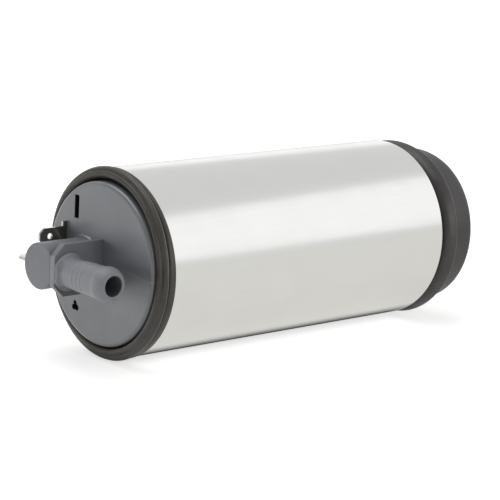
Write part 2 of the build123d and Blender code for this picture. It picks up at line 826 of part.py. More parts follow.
# Brush holder: moulded plate with a rim, a hub for the front bush, two brush channels and
# holes that let the fuel through
tube_width = brush_width + 2 * (brush_side_gap + tube_wall)
tube_height = brush_height + 2 * (brush_side_gap + tube_wall)
with BuildPart() as brush_holder:
    with BuildSketch(Plane.YZ.offset(holder_plate_front_x)):
        Circle(spigot_r)
    extrude(amount=holder_plate_rear_x - holder_plate_front_x)
    with BuildSketch(Plane.YZ.offset(spigot_x)):
        Circle(spigot_r)
        Circle(holder_rim_bore_r, mode=Mode.SUBTRACT)
    extrude(amount=holder_plate_rear_x - spigot_x)
    with BuildSketch(Plane.YZ.offset(holder_hub_front_x)):
        Circle(holder_hub_r)
    extrude(amount=holder_hub_rear_x - holder_hub_front_x)
    with BuildSketch(Plane.YZ.offset(tube_end_x)):
        with Locations((0, brush_z), (0, -brush_z)):
            Rectangle(tube_width, tube_height)
    extrude(amount=tube_rear_x - tube_end_x)
    with BuildSketch(Plane.YZ.offset(tube_end_x + tube_wall)):
        with Locations((0, brush_z), (0, -brush_z)):
            Rectangle(brush_width + 2 * brush_side_gap, brush_height + 2 * brush_side_gap)
    extrude(amount=tube_rear_x - tube_end_x, mode=Mode.SUBTRACT)
    with BuildSketch(Plane.YZ.offset(tube_end_x)):
        with Locations((0, brush_z), (0, -brush_z)):
            Circle(shunt_hole_r)
    extrude(amount=2 * tube_wall, mode=Mode.SUBTRACT)
    with BuildSketch(Plane.YZ.offset(holder_plate_front_x)):
        with PolarLocations(flow_hole_centre_r, 8):
            Circle(flow_hole_r)
    extrude(amount=holder_plate_rear_x - holder_plate_front_x, mode=Mode.SUBTRACT)
    with BuildSketch(Plane.YZ.offset(holder_hub_rear_x)):
        Circle(bush_r + press_gap)
    extrude(amount=-bush_length - press_gap, mode=Mode.SUBTRACT)
brush_holder.part.label = "brush_holder"
export_step(brush_holder.part, "parts/brush_holder.step")


# Bearing bushes: sintered bronze, one in the brush holder and one in the outlet port plate
front_bearing_bush = ring(
    holder_hub_rear_x - bush_length, holder_hub_rear_x, bush_r, shaft_r + running_gap
)
front_bearing_bush.part.label = "front_bearing_bush"
export_step(front_bearing_bush.part, "parts/front_bearing_bush.step")
rear_bearing_bush = ring(
    stage_front_x + bush_inset, gear_front_x - bush_inset, bush_r, shaft_r + running_gap
)
rear_bearing_bush.part.label = "rear_bearing_bush"
export_step(rear_bearing_bush.part, "parts/rear_bearing_bush.step")


# Brush gear, one set above and one below the shaft: carbon brush, spring and braided shunt
brush_face_x = commutator_face_x - brush_gap
brush_back_x = brush_face_x - brush_length
shunt_routes = {
    "upper": ((0, brush_z), upper_shunt_bend, (choke_y, upper_choke_z)),
    "lower": ((0, -brush_z), lower_shunt_bend, (choke_y, lower_choke_z)),
}
for side, (start_yz, bend_yz, end_yz) in shunt_routes.items():
    with BuildPart() as brush:
        with BuildSketch(Plane.YZ.offset(brush_back_x)):
            with Locations(start_yz):
                Rectangle(brush_width, brush_height)
        extrude(amount=brush_length)
    brush.part.label = f"{side}_brush"
    export_step(brush.part, f"parts/{side}_brush.step")

    brush_spring = coil_along_x(
        tube_end_x + tube_wall,
        brush_back_x,
        *start_yz,
        brush_spring_r,
        brush_spring_wire_r,
        brush_spring_turns,
    )
    brush_spring.part.label = f"{side}_brush_spring"
    export_step(brush_spring.part, f"parts/{side}_brush_spring.step")

    with BuildPart() as brush_shunt:
        with BuildLine():
            lead = FilletPolyline(
                (brush_back_x, *start_yz),
                (shunt_turn_x, *start_yz),
                (shunt_turn_x, *bend_yz),
                (choke_front_x - shunt_end_gap, *end_yz),
                radius=shunt_bend_r,
            )
        with BuildSketch(Plane(lead @ 0, z_dir=lead % 0)):
            Circle(shunt_r)
        sweep(path=lead)
    brush_shunt.part.label = f"{side}_brush_shunt"
    export_step(brush_shunt.part, f"parts/{side}_brush_shunt.step")


# Suppression chokes: two ferrite rods standing on the brush holder, each wound with a coil
with BuildPart() as choke_cores:
    with BuildSketch(Plane.YZ.offset(choke_front_x)):
        with Locations((choke_y, upper_choke_z), (choke_y, lower_choke_z)):
            Circle(choke_core_r)
    extrude(amount=holder_plate_front_x - choke_front_x)
choke_cores.part.label = "choke_cores"
export_step(choke_cores.part, "parts/choke_cores.step")
with BuildPart() as choke_coils:
    for choke_z in (upper_choke_z, lower_choke_z):
        add(
            coil_along_x(
                choke_coil_front_x,
                choke_coil_rear_x,
                choke_y,
                choke_z,
                choke_core_r + choke_wire_r + ring_seat_gap,
                choke_wire_r,
                choke_turns,
            ).part
        )
choke_coils.part.label = "choke_coils"
export_step(choke_coils.part, "parts/choke_coils.step")


# Field magnets: two ferrite arcs inside the can, above and below the armature
for side, middle_angle in (("upper", 90), ("lower", -90)):
    with BuildPart() as magnet:
        with BuildSketch(Plane.YZ.offset(magnet_front_x)):
            add(sector(magnet_inner_r, magnet_outer_r, middle_angle, magnet_half_angle))
        extrude(amount=magnet_rear_x - magnet_front_x)
        chamfer(magnet.edges().group_by(Axis.X)[0], magnet_chamfer)
        chamfer(magnet.edges().group_by(Axis.X)[-1], magnet_chamfer)
    magnet.part.label = f"{side}_magnet"
    export_step(magnet.part, f"parts/{side}_magnet.step")


# Magnet clips: spring strips bent to a channel, which push the two magnets apart
with BuildPart() as magnet_clips:
    with BuildSketch(Plane.YZ.offset(magnet_front_x + clip_inset)):
        for side_angle in (0, 180):
            channel_half_angle = clip_half_angle - clip_leg_angle
            channel = sector(clip_foot_r - clip_t, magnet_outer_r - clip_t, side_angle, channel_half_angle)
            add(sector(clip_foot_r, magnet_outer_r, side_angle, clip_half_angle))
            add(channel, mode=Mode.SUBTRACT)
    extrude(amount=magnet_rear_x - magnet_front_x - 2 * clip_inset)
magnet_clips.part.label = "magnet_clips"
export_step(magnet_clips.part, "parts/magnet_clips.step")


# Rotor shaft: ground steel, with two flats at its rear end for the coupling
with BuildPart() as rotor_shaft:
    with BuildSketch(Plane.YZ.offset(shaft_front_x)):
        Circle(shaft_r)
    extrude(amount=shaft_rear_x - shaft_front_x)
    chamfer(rotor_shaft.edges().filter_by(GeomType.CIRCLE), small_chamfer)
    with BuildSketch(Plane.YZ.offset(gear_front_x + gear_side_clearance)):
        Circle(shaft_r + press_gap)
        Rectangle(3 * shaft_r, shaft_flats, mode=Mode.SUBTRACT)
    extrude(amount=gear_width, mode=Mode.SUBTRACT)
rotor_shaft.part.label = "rotor_shaft"
export_step(rotor_shaft.part, "parts/rotor_shaft.step")


def armature_disc(front_x, thickness, inset):
    """Slice of the slotted armature, its slots made wider by inset on each side."""
    with BuildPart() as disc:
        with BuildSketch(Plane.YZ.offset(front_x)):
            Circle(core_r)
            Circle(shaft_r + press_gap, mode=Mode.SUBTRACT)
            with PolarLocations(0, core_slots):
                Polygon(
                    (slot_inner_r - inset, -slot_inner_half - inset),
                    (slot_outer_r, -slot_outer_half - inset),
                    (slot_outer_r, slot_outer_half + inset),
                    (slot_inner_r - inset, slot_inner_half + inset),
                    align=None,
                    mode=Mode.SUBTRACT,
                )
            with PolarLocations((slot_outer_r + core_r) / 2, core_slots):
                Rectangle(2 * (core_r - slot_outer_r), slot_mouth, mode=Mode.SUBTRACT)
        extrude(amount=thickness)
    return disc


# Armature core: stack of slotted steel sheets pressed on the shaft
armature_core = armature_disc(core_front_x, core_rear_x - core_front_x, 0)
armature_core.part.label = "armature_core"
export_step(armature_core.part, "parts/armature_core.step")


# Armature insulators: a slotted paper disc on each end of the core
with BuildPart() as armature_insulators:
    add(armature_disc(core_front_x - insulator_t, insulator_t, insulator_inset).part)
    add(armature_disc(core_rear_x, insulator_t, insulator_inset).part)
armature_insulators.part.label = "armature_insulators"
export_step(armature_insulators.part, "parts/armature_insulators.step")


# Armature windings: a bundle of enamelled wire in each slot, joined by the end turns
windings_front_x = core_front_x - insulator_t - winding_gap
windings_rear_x = core_rear_x + insulator_t + winding_gap
with BuildPart() as armature_windings:
    with BuildSketch(Plane.YZ.offset(windings_front_x - end_turn_length / 2)):
        with PolarLocations(0, core_slots):
            Polygon(
                (slot_inner_r + winding_inset, -slot_inner_half + winding_inset),
                (slot_outer_r - winding_inset, -slot_outer_half + winding_inset),
                (slot_outer_r - winding_inset, slot_outer_half - winding_inset),
                (slot_inner_r + winding_inset, slot_inner_half - winding_inset),
                align=None,
            )
    extrude(amount=windings_rear_x - windings_front_x + end_turn_length)
    with BuildSketch(Plane.XY):
        with Locations(
            (windings_front_x - end_turn_length / 2, (end_turn_inner_r + end_turn_outer_r) / 2),
            (windings_rear_x + end_turn_length / 2, (end_turn_inner_r + end_turn_outer_r) / 2),
        ):
            RectangleRounded(end_turn_length, end_turn_outer_r - end_turn_inner_r, end_turn_corner_r)
    revolve(axis=Axis.X)
armature_windings.part.label = "armature_windings"
export_step(armature_windings.part, "parts/armature_windings.step")


# Commutator hub: moulded sleeve and flange that carry the segments
segment_rear_x = commutator_face_x + segment_t
with BuildPart() as commutator_hub:
    with BuildSketch(Plane.YZ.offset(commutator_face_x + hub_set_back)):
        Circle(hub_r)
    extrude(amount=hub_rear_x - commutator_face_x - hub_set_back)
    with BuildSketch(Plane.YZ.offset(segment_rear_x)):
        Circle(segment_outer_r)
    extrude(amount=hub_flange_t)
    with BuildSketch(Plane.YZ.offset(commutator_face_x)):
        Circle(shaft_r + press_gap)
    extrude(amount=hub_rear_x - commutator_face_x, mode=Mode.SUBTRACT)
commutator_hub.part.label = "commutator_hub"
export_step(commutator_hub.part, "parts/commutator_hub.step")


# Commutator segments: flat copper sectors, each with a riser tab for its winding end
with BuildPart() as commutator_segments:
    with BuildSketch(Plane.YZ.offset(commutator_face_x)):
        Circle(segment_outer_r)
        Circle(segment_inner_r, mode=Mode.SUBTRACT)
        with PolarLocations(segment_outer_r, segment_count, start_angle=180 / segment_count):
            Rectangle(2 * segment_outer_r, segment_gap, mode=Mode.SUBTRACT)
    extrude(amount=segment_t)
    with BuildSketch(Plane.YZ.offset(segment_rear_x - riser_t)):
        with PolarLocations(segment_outer_r + riser_length / 2 - riser_overlap, segment_count):
            Rectangle(riser_length, riser_width)
    extrude(amount=riser_t)
commutator_segments.part.label = "commutator_segments"
export_step(commutator_segments.part, "parts/commutator_segments.step")


# Thrust washers: one behind the front bush, one in front of the outlet port plate
with BuildPart() as thrust_washers:
    for washer_front in (holder_hub_rear_x + washer_gap, stage_front_x - washer_gap - washer_t):
        add(ring(washer_front, washer_front + washer_t, washer_r, shaft_r + press_gap).part)
thrust_washers.part.label = "thrust_washers"
export_step(thrust_washers.part, "parts/thrust_washers.step")


# Outlet port plate: carries the rear bush and lets the pumped fuel out into the motor
with BuildPart() as outlet_port_plate:
    with BuildSketch(Plane.YZ.offset(stage_front_x)):
        Circle(stage_r)
        Circle(bush_r + press_gap, mode=Mode.SUBTRACT)
        SlotArc(
            CenterArc((gear_offset / 2, 0), port_centre_r, port_start_angle, port_sweep),
            port_width,
            mode=Mode.SUBTRACT,
        )
    extrude(amount=outlet_plate_t)
    with BuildSketch(Plane.YZ.offset(gear_front_x)):
        with PolarLocations(screw_circle_r, 3, start_angle=screw_start_angle):
            Circle(screw_r + press_gap)
    extrude(amount=-screw_depth, mode=Mode.SUBTRACT)
outlet_port_plate.part.label = "outlet_port_plate"
export_step(outlet_port_plate.part, "parts/outlet_port_plate.step")


# Eccentric ring: its bore is set off the pump's axis and guides the outer gear
with BuildPart() as eccentric_ring:
    with BuildSketch(Plane.YZ.offset(gear_front_x)):
        Circle(stage_r)
        with Locations((gear_offset, 0)):
            Circle(outer_gear_r + gear_clearance, mode=Mode.SUBTRACT)
        with PolarLocations(screw_circle_r, 3, start_angle=screw_start_angle):
            Circle(screw_r + press_gap, mode=Mode.SUBTRACT)
    extrude(amount=gear_width)
eccentric_ring.part.label = "eccentric_ring"
export_step(eccentric_ring.part, "parts/eccentric_ring.step")


# Inlet port plate: closes the gears from behind and lets the fuel in on the other half
with BuildPart() as inlet_port_plate:
    with BuildSketch(Plane.YZ.offset(gear_rear_x)):
        Circle(stage_r)
        SlotArc(
            CenterArc((gear_offset / 2, 0), port_centre_r, 180 + port_start_angle, port_sweep),
            port_width,
            mode=Mode.SUBTRACT,
        )
    extrude(amount=inlet_plate_t)
    with Locations(Plane.YZ.offset(inlet_plate_rear_x)):
        with PolarLocations(screw_circle_r, 3, start_angle=screw_start_angle):
            CounterBoreHole(screw_r + press_gap, screw_head_r + screw_head_gap, screw_head_t, inlet_plate_t)
inlet_port_plate.part.label = "inlet_port_plate"
export_step(inlet_port_plate.part, "parts/inlet_port_plate.step")


# Stage screws: three cap screws that clamp both plates and the ring together
with BuildPart() as stage_screws:
    with BuildSketch(Plane.YZ.offset(inlet_plate_rear_x)):
        with PolarLocations(screw_circle_r, 3, start_angle=screw_start_angle):
            Circle(screw_head_r)
    extrude(amount=-screw_head_t)
    with BuildSketch(Plane.YZ.offset(inlet_plate_rear_x)):
        with PolarLocations(screw_circle_r, 3, start_angle=screw_start_angle):
            Circle(screw_r)
    extrude(amount=gear_front_x - screw_depth + screw_end_gap - inlet_plate_rear_x)
    with BuildSketch(Plane.YZ.offset(inlet_plate_rear_x)):
        with PolarLocations(screw_circle_r, 3, start_angle=screw_start_angle):
            RegularPolygon(screw_key_r, 6)
    extrude(amount=-screw_key_depth, mode=Mode.SUBTRACT)
stage_screws.part.label = "stage_screws"
export_step(stage_screws.part, "parts/stage_screws.step")


def inner_gear_point(turn):
    """Point on the inner gear: the path of an outer tooth's centre, set in by the tooth's radius."""
    main_arm = tooth_centre_r * exp(1j * turn)
    offset_arm = gear_offset * exp(1j * outer_teeth * turn)
    travel = 1j * (main_arm + outer_teeth * offset_arm)
    outline = main_arm + offset_arm + 1j * travel / abs(travel) * (tooth_r + gear_clearance)
    return (outline.real, outline.imag)


# Inner gear: lobed gear on the shaft's axis, with a six-sided hole for the coupling
with BuildPart() as inner_gear:
    with BuildSketch(Plane.YZ.offset(gear_front_x + gear_side_clearance)):
        with BuildLine():
            point_count = inner_lobes * points_per_lobe
            turns = [2 * pi * i / point_count for i in range(point_count)]
            Spline(*[inner_gear_point(turn) for turn in turns], periodic=True)
        make_face()
        RegularPolygon(coupling_r + press_gap, 6, major_radius=False, mode=Mode.SUBTRACT)
    extrude(amount=gear_width - 2 * gear_side_clearance)
inner_gear.part.label = "inner_gear"
export_step(inner_gear.part, "parts/inner_gear.step")


# Drive coupling: moulded six-sided insert between the shaft's flats and the inner gear
with BuildPart() as drive_coupling:
    with BuildSketch(Plane.YZ.offset(gear_front_x + gear_side_clearance)):
        RegularPolygon(coupling_r, 6, major_radius=False)
        with BuildSketch(mode=Mode.PRIVATE) as shaft_end:
            Circle(shaft_r + press_gap)
            Rectangle(3 * shaft_r, shaft_flats + 2 * press_gap, mode=Mode.INTERSECT)
        add(shaft_end.sketch, mode=Mode.SUBTRACT)
    extrude(amount=gear_width - 2 * gear_side_clearance)
drive_coupling.part.label = "drive_coupling"
export_step(drive_coupling.part, "parts/drive_coupling.step")


# Outer gear: ring with round teeth, one more than the inner gear has lobes
with BuildPart() as outer_gear:
    with BuildSketch(Plane.YZ.offset(gear_front_x + gear_side_clearance)):
        with Locations((gear_offset, 0)):
            Circle(outer_gear_r)
            Circle(gear_root_r, mode=Mode.SUBTRACT)
            with PolarLocations(tooth_centre_r, outer_teeth):
                Circle(tooth_r)
            Circle(outer_gear_r, mode=Mode.INTERSECT)
    extrude(amount=gear_width - 2 * gear_side_clearance)
outer_gear.part.label = "outer_gear"
export_step(outer_gear.part, "parts/outer_gear.step")


# Inlet cover: closes the stage, with a plenum in front of the inlet port and the inlet hole
with BuildPart() as inlet_cover:
    with BuildSketch(Plane.XY):
        with BuildLine():
            Polyline(
                (inlet_plate_rear_x + plenum_depth, inlet_hole_r),
                (inlet_plate_rear_x + plenum_depth, plenum_r),
                (inlet_plate_rear_x, plenum_r),
                (inlet_plate_rear_x, stage_r),
                (stage_rear_x, stage_r),
                (stage_rear_x, inlet_boss_r),
                (stage_rear_x + inlet_boss_t, inlet_boss_r),
                (stage_rear_x + inlet_boss_t, inlet_hole_r),
                close=True,
            )
        make_face()
        with Locations((inlet_groove_front_x + seal_groove_width / 2, (inlet_groove_r + stage_r) / 2)):
            Rectangle(seal_groove_width, stage_r - inlet_groove_r, mode=Mode.SUBTRACT)
    revolve(axis=Axis.X)
inlet_cover.part.label = "inlet_cover"
export_step(inlet_cover.part, "parts/inlet_cover.step")


# Inlet strainer: moulded frame with spokes, and the mesh disc that it holds on the boot's ledge
with BuildPart() as strainer_frame:
    with BuildSketch(Plane.YZ.offset(strainer_front_x)):
        Circle(boot_mouth_r - ring_seat_gap)
        Circle(strainer_ring_bore_r, mode=Mode.SUBTRACT)
    extrude(amount=strainer_ring_t)
    with BuildSketch(Plane.YZ.offset(strainer_front_x)):
        with PolarLocations(strainer_ring_bore_r / 2, strainer_spokes):
            Rectangle(strainer_ring_bore_r + strainer_spoke_root, strainer_spoke_width)
        Circle(strainer_hub_r)
    extrude(amount=strainer_spoke_t)
    chamfer(strainer_frame.edges().group_by(Axis.X)[-1], small_chamfer)
strainer_frame.part.label = "strainer_frame"
export_step(strainer_frame.part, "parts/strainer_frame.step")
with BuildPart() as strainer_mesh:
    with BuildSketch(Plane.YZ.offset(strainer_front_x)):
        Circle(boot_mouth_r - ring_seat_gap)
    extrude(amount=-mesh_t)
strainer_mesh.part.label = "strainer_mesh"
export_step(strainer_mesh.part, "parts/strainer_mesh.step")
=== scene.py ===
import math

import bpy
from mathutils import Matrix, Vector


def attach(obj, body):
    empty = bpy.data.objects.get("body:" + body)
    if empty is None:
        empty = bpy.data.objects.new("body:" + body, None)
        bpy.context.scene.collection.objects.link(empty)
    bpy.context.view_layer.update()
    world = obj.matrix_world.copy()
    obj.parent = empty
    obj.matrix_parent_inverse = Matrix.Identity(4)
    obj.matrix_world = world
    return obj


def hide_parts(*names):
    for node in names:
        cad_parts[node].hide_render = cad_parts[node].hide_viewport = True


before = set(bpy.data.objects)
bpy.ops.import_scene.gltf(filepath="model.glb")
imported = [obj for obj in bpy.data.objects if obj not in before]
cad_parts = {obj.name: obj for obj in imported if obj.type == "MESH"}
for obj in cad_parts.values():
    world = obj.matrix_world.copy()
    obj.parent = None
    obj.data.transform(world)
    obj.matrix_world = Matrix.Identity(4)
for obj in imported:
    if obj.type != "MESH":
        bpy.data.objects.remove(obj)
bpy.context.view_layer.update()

# Rotor shaft
# A ground steel shaft that runs in two bushes and carries the armature and the inner gear.
# Grinding leaves very fine rings round it, which give the bright steel a soft streaked shine.
deep_in, pale_in, colour_out = 6, 7, 2


def linear(code):
    """Linear colour of an sRGB hex value."""
    parts = [int(code[i:i + 2], 16) / 255 for i in (1, 3, 5)]
    return [p / 12.92 if p <= 0.04045 else ((p + 0.055) / 1.055) ** 2.4 for p in parts] + [1.0]


def add_node(material, kind, settings=None, inputs=None):
    """Adds one node. Each input gets a value, or a pair of the node and the output that feed it."""
    tree = material.node_tree
    node = tree.nodes.new("ShaderNode" + kind)
    for name, value in (settings or {}).items():
        setattr(node, name, value)
    for socket, value in (inputs or {}).items():
        if isinstance(value, tuple) and isinstance(value[0], bpy.types.Node):
            tree.links.new(value[0].outputs[value[1]], node.inputs[socket])
        else:
            node.inputs[socket].default_value = value
    return node


def place_in_mm(material):
    """The place on the pump in millimetres."""
    place = add_node(material, "TexCoord")
    return add_node(material, "VectorMath", {"operation": "SCALE"},
                    {"Vector": (place, "Object"), "Scale": 1000})


def shader_of(material):
    """The shader that every finish here is made with."""
    return material.node_tree.nodes["Principled BSDF"]


def start_material(name, roughness, metallic=0.0):
    """A material, its shader, and the place on the pump in millimetres."""
    material = bpy.data.materials.new(name)
    material.use_nodes = True
    shader = shader_of(material)
    shader.inputs["Roughness"].default_value = roughness
    shader.inputs["Metallic"].default_value = metallic
    return material, shader, place_in_mm(material)


def feed(material, shader, colour=None, roughness=None, normal=None):
    """Links the finished colour, roughness and surface relief to the shader."""
    finished = (("Base Color", colour), ("Roughness", roughness), ("Normal", normal))
    for socket, source in finished:
        if source:
            material.node_tree.links.new(source[0].outputs[source[1]], shader.inputs[socket])


def coat_node(material, *nodes):
    """Gives CAD nodes their material."""
    for name in nodes:
        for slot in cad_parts[name].material_slots:
            slot.material = material


def turned_metal(name, pale, deep, roughness, line_mm, relief_mm=0.004):
    """Bare metal cut on a lathe: fine rings round the axis, drawn coarse enough to show."""
    patch_mm = 5.0
    material, shader, mm = start_material(name, roughness, metallic=1.0)
    apart = add_node(material, "SeparateXYZ", None, {"Vector": (mm, 0)})
    across = add_node(material, "CombineXYZ", None, {"Y": (apart, "Y"), "Z": (apart, "Z")})
    radius = add_node(material, "VectorMath", {"operation": "LENGTH"}, {0: (across, 0)})
    ring = add_node(material, "CombineXYZ", None, {"X": (apart, "X"), "Y": (radius, "Value")})
    lines = add_node(material, "TexNoise", None,
                     {"Vector": (ring, 0), "Scale": 1 / line_mm, "Detail": 2.0})
    patches = add_node(material, "TexNoise", None,
                       {"Vector": (mm, 0), "Scale": 1 / patch_mm, "Detail": 3.0})
    both = add_node(material, "Math", {"operation": "ADD"}, {0: (lines, 0), 1: (patches, 0)})
    shade = add_node(material, "MapRange", None,
                     {"Value": (both, 0), "From Min": 0.7, "From Max": 1.3})
    colour = add_node(material, "Mix", {"data_type": "RGBA"},
                      {"Factor": (shade, 0), deep_in: linear(deep), pale_in: linear(pale)})
    gloss = add_node(material, "MapRange", None,
                     {"Value": (both, 0), "From Min": 0.6, "From Max": 1.4,
                      "To Min": roughness + 0.06, "To Max": roughness - 0.05})
    cut = add_node(material, "Bump", None,
                   {"Height": (lines, 0), "Strength": 0.3, "Distance": relief_mm / 1000})
    feed(material, shader, (colour, colour_out), (gloss, 0), (cut, 0))
    return material


coat_node(
    turned_metal("ground_steel", "#C9C9CB", "#A9AAAD",
                 roughness=0.24, line_mm=0.12),
    "rotor_shaft")

# Armature core
# Thin sheets of electrical steel, punched with eight slots, stacked and pressed on the shaft.
# The cut edges show as close bands along the stack, 0.5 mm apart, with a thin dark varnish.
sheet_mm = 0.5
sheet_edge_mm = 0.04
stains_per_mm = 0.35
wave_spacing = 0.314
core_material, core_shader, core_mm = start_material("stacked_electrical_steel",
                                                     roughness=0.42, metallic=1.0)
sheets = add_node(core_material, "TexWave", {"wave_type": "BANDS", "bands_direction": "X"},
                  {"Vector": (core_mm, 0), "Scale": wave_spacing / sheet_mm, "Distortion": 0.2,
                   "Detail Scale": 4.0})
stain = add_node(core_material, "TexNoise", None,
                 {"Vector": (core_mm, 0), "Scale": stains_per_mm, "Detail": 4.0})
sheet_shade = add_node(core_material, "Math", {"operation": "MULTIPLY"},
                       {0: (sheets, 1), 1: (stain, 0)})
sheet_colour = add_node(core_material, "Mix", {"data_type": "RGBA"},
                        {"Factor": (sheet_shade, 0), deep_in: linear("#55565A"),
                         pale_in: linear("#A5A6A8")})
sheet_edge = add_node(core_material, "Bump", None,
                      {"Height": (sheets, 1), "Strength": 0.6, "Distance": sheet_edge_mm / 1000})
feed(core_material, core_shader, (sheet_colour, colour_out), normal=(sheet_edge, 0))
coat_node(core_material, "armature_core")

# Slot insulators
# Washers of pressed fibre at both ends of the stack, pale green with short darker fibres.
# They are dull, because the fibre soaks up light as card does.
fibre_width_mm = 0.4
fibre_length_mm = 2.0
fibre_relief_mm = 0.05
fibre_material, fibre_shader, fibre_mm = start_material("pressed_fibre", roughness=0.78)
fibres_per_mm = (1 / fibre_width_mm, 1 / fibre_width_mm, 1 / fibre_length_mm)
threads = add_node(fibre_material, "Mapping", None,
                   {"Vector": (fibre_mm, 0), "Scale": fibres_per_mm})
weave = add_node(fibre_material, "TexNoise", None,
                 {"Vector": (threads, 0), "Scale": 1.0, "Detail": 5.0})
fibre_colour = add_node(fibre_material, "Mix", {"data_type": "RGBA"},
                        {"Factor": (weave, 0), deep_in: linear("#6F8064"),
                         pale_in: linear("#9CAC8C")})
fibre_skin = add_node(fibre_material, "Bump", None,
                      {"Height": (weave, 0), "Strength": 0.4, "Distance": fibre_relief_mm / 1000})
feed(fibre_material, fibre_shader, (fibre_colour, colour_out), normal=(fibre_skin, 0))
coat_node(fibre_material, "armature_insulators")

# Armature windings and choke coils
# Round copper wire in a clear reddish enamel, wound in tight layers and dipped in varnish.
# Each turn shows as a small round rib, one wire wide, with a glossy, coated shine.


def enamelled_copper(name, wire_mm):
    """Enamelled wire laid side by side: ribs one wire apart under a clear amber coat."""
    tint_patch_mm = 2.0
    rib_mm = wire_mm / 4
    material, shader, mm = start_material(name, roughness=0.34, metallic=1.0)
    shader.inputs["Coat Weight"].default_value = 0.6
    shader.inputs["Coat Roughness"].default_value = 0.15
    turns = add_node(material, "TexWave", {"wave_type": "BANDS", "bands_direction": "X"},
                     {"Vector": (mm, 0), "Scale": wave_spacing / wire_mm, "Distortion": 0.6,
                      "Detail": 1.0})
    tint = add_node(material, "TexNoise", None,
                    {"Vector": (mm, 0), "Scale": 1 / tint_patch_mm, "Detail": 2.0})
    shade = add_node(material, "Math", {"operation": "MULTIPLY"}, {0: (turns, 1), 1: (tint, 0)})
    colour = add_node(material, "Mix", {"data_type": "RGBA"},
                      {"Factor": (shade, 0), deep_in: linear("#7A3318"),
                       pale_in: linear("#D98052")})
    ribs = add_node(material, "Bump", None,
                    {"Height": (turns, 1), "Strength": 0.8, "Distance": rib_mm / 1000})
    feed(material, shader, (colour, colour_out), normal=(ribs, 0))
    return material


coat_node(enamelled_copper("enamelled_wire_windings", wire_mm=0.5), "armature_windings")
coat_node(enamelled_copper("enamelled_wire_chokes", wire_mm=0.6), "choke_coils")

# Commutator
# Eight copper segments moulded into a brown phenolic hub, their face turned flat for the brushes.
# Running leaves fine dark rings of carbon dust on the copper.
first_in, second_in = 2, 3


def moulded_plastic(name, pale, deep, roughness, patch_mm, grain_mm, relief_mm=0.012):
    """Plastic from a mould: cloudy flow patches, a fine speckle of filler and a slight grain."""
    material, shader, mm = start_material(name, roughness)
    clouds = add_node(material, "TexNoise", None,
                      {"Vector": (mm, 0), "Scale": 1 / patch_mm, "Detail": 3.0})
    grain = add_node(material, "TexNoise", None,
                     {"Vector": (mm, 0), "Scale": 1 / grain_mm, "Detail": 2.0})
    both = add_node(material, "Mix", {"data_type": "FLOAT"},
                    {"Factor": 0.35, first_in: (clouds, 0), second_in: (grain, 0)})
    shade = add_node(material, "MapRange", None,
                     {"Value": (both, 0), "From Min": 0.35, "From Max": 0.65})
    colour = add_node(material, "Mix", {"data_type": "RGBA"},
                      {"Factor": (shade, 0), deep_in: linear(deep), pale_in: linear(pale)})
    gloss = add_node(material, "MapRange", None,
                     {"Value": (both, 0), "From Min": 0.3, "From Max": 0.7,
                      "To Min": roughness + 0.06, "To Max": roughness - 0.06})
    skin = add_node(material, "Bump", None,
                    {"Height": (grain, 0), "Strength": 0.35, "Distance": relief_mm / 1000})
    feed(material, shader, (colour, colour_out), (gloss, 0), (skin, 0))
    return material


coat_node(
    moulded_plastic("moulded_phenolic", "#5E3A26", "#47291A",
                    roughness=0.45, patch_mm=4.0, grain_mm=0.4),
    "commutator_hub")
coat_node(
    turned_metal("turned_copper", "#D79A72", "#A8683F",
                 roughness=0.3, line_mm=0.25),
    "commutator_segments")

# Thrust washers, drive coupling and valve poppet
# Small moulded parts in natural acetal, milky white with a waxy gloss. The washers take the
# shaft's end float, the coupling turns the inner gear and the poppet shuts the check valve.
milky_depth_m = 0.001
natural_plastic = moulded_plastic("moulded_natural_acetal", "#E9E5D8", "#DAD5C5",
                                  roughness=0.38, patch_mm=5.0, grain_mm=0.5)
natural_shader = shader_of(natural_plastic)
natural_shader.inputs["Subsurface Weight"].default_value = 0.15
natural_shader.inputs["Subsurface Radius"].default_value = (milky_depth_m,) * 3
coat_node(natural_plastic, "thrust_washers", "drive_coupling", "check_valve_poppet")

# Bearing bushes, gears and eccentric ring
# Pressed from metal powder and sintered, then sized or ground. The bushes are oil-soaked bronze,
# the gears and the ring are steel. Open pores about 0.1 mm across, drawn wider here, speckle them.


def sintered_metal(name, pale, deep, roughness, pore_mm, metallic=1.0):
    """Pressed and baked powder: a close speckle of dark pores in a dull even ground."""
    clouds_per_mm = 0.3
    pore_depth_mm = 0.02
    material, shader, mm = start_material(name, roughness, metallic)
    pores = add_node(material, "TexVoronoi", None, {"Vector": (mm, 0), "Scale": 1 / pore_mm})
    open_pore = add_node(material, "MapRange", None,
                         {"Value": (pores, "Distance"), "From Min": 0.12, "From Max": 0.42})
    clouds = add_node(material, "TexNoise", None,
                      {"Vector": (mm, 0), "Scale": clouds_per_mm, "Detail": 3.0})
    shade = add_node(material, "Math", {"operation": "MULTIPLY"},
                     {0: (open_pore, 0), 1: (clouds, 0)})
    lift = add_node(material, "MapRange", None,
                    {"Value": (shade, 0), "From Min": 0.0, "From Max": 0.6})
    colour = add_node(material, "Mix", {"data_type": "RGBA"},
                      {"Factor": (lift, 0), deep_in: linear(deep), pale_in: linear(pale)})
    gloss = add_node(material, "MapRange", None,
                     {"Value": (open_pore, 0), "To Min": 0.8, "To Max": roughness})
    pits = add_node(material, "Bump", None,
                    {"Height": (open_pore, 0), "Strength": 0.35,
                     "Distance": pore_depth_mm / 1000})
    feed(material, shader, (colour, colour_out), (gloss, 0), (pits, 0))
    return material


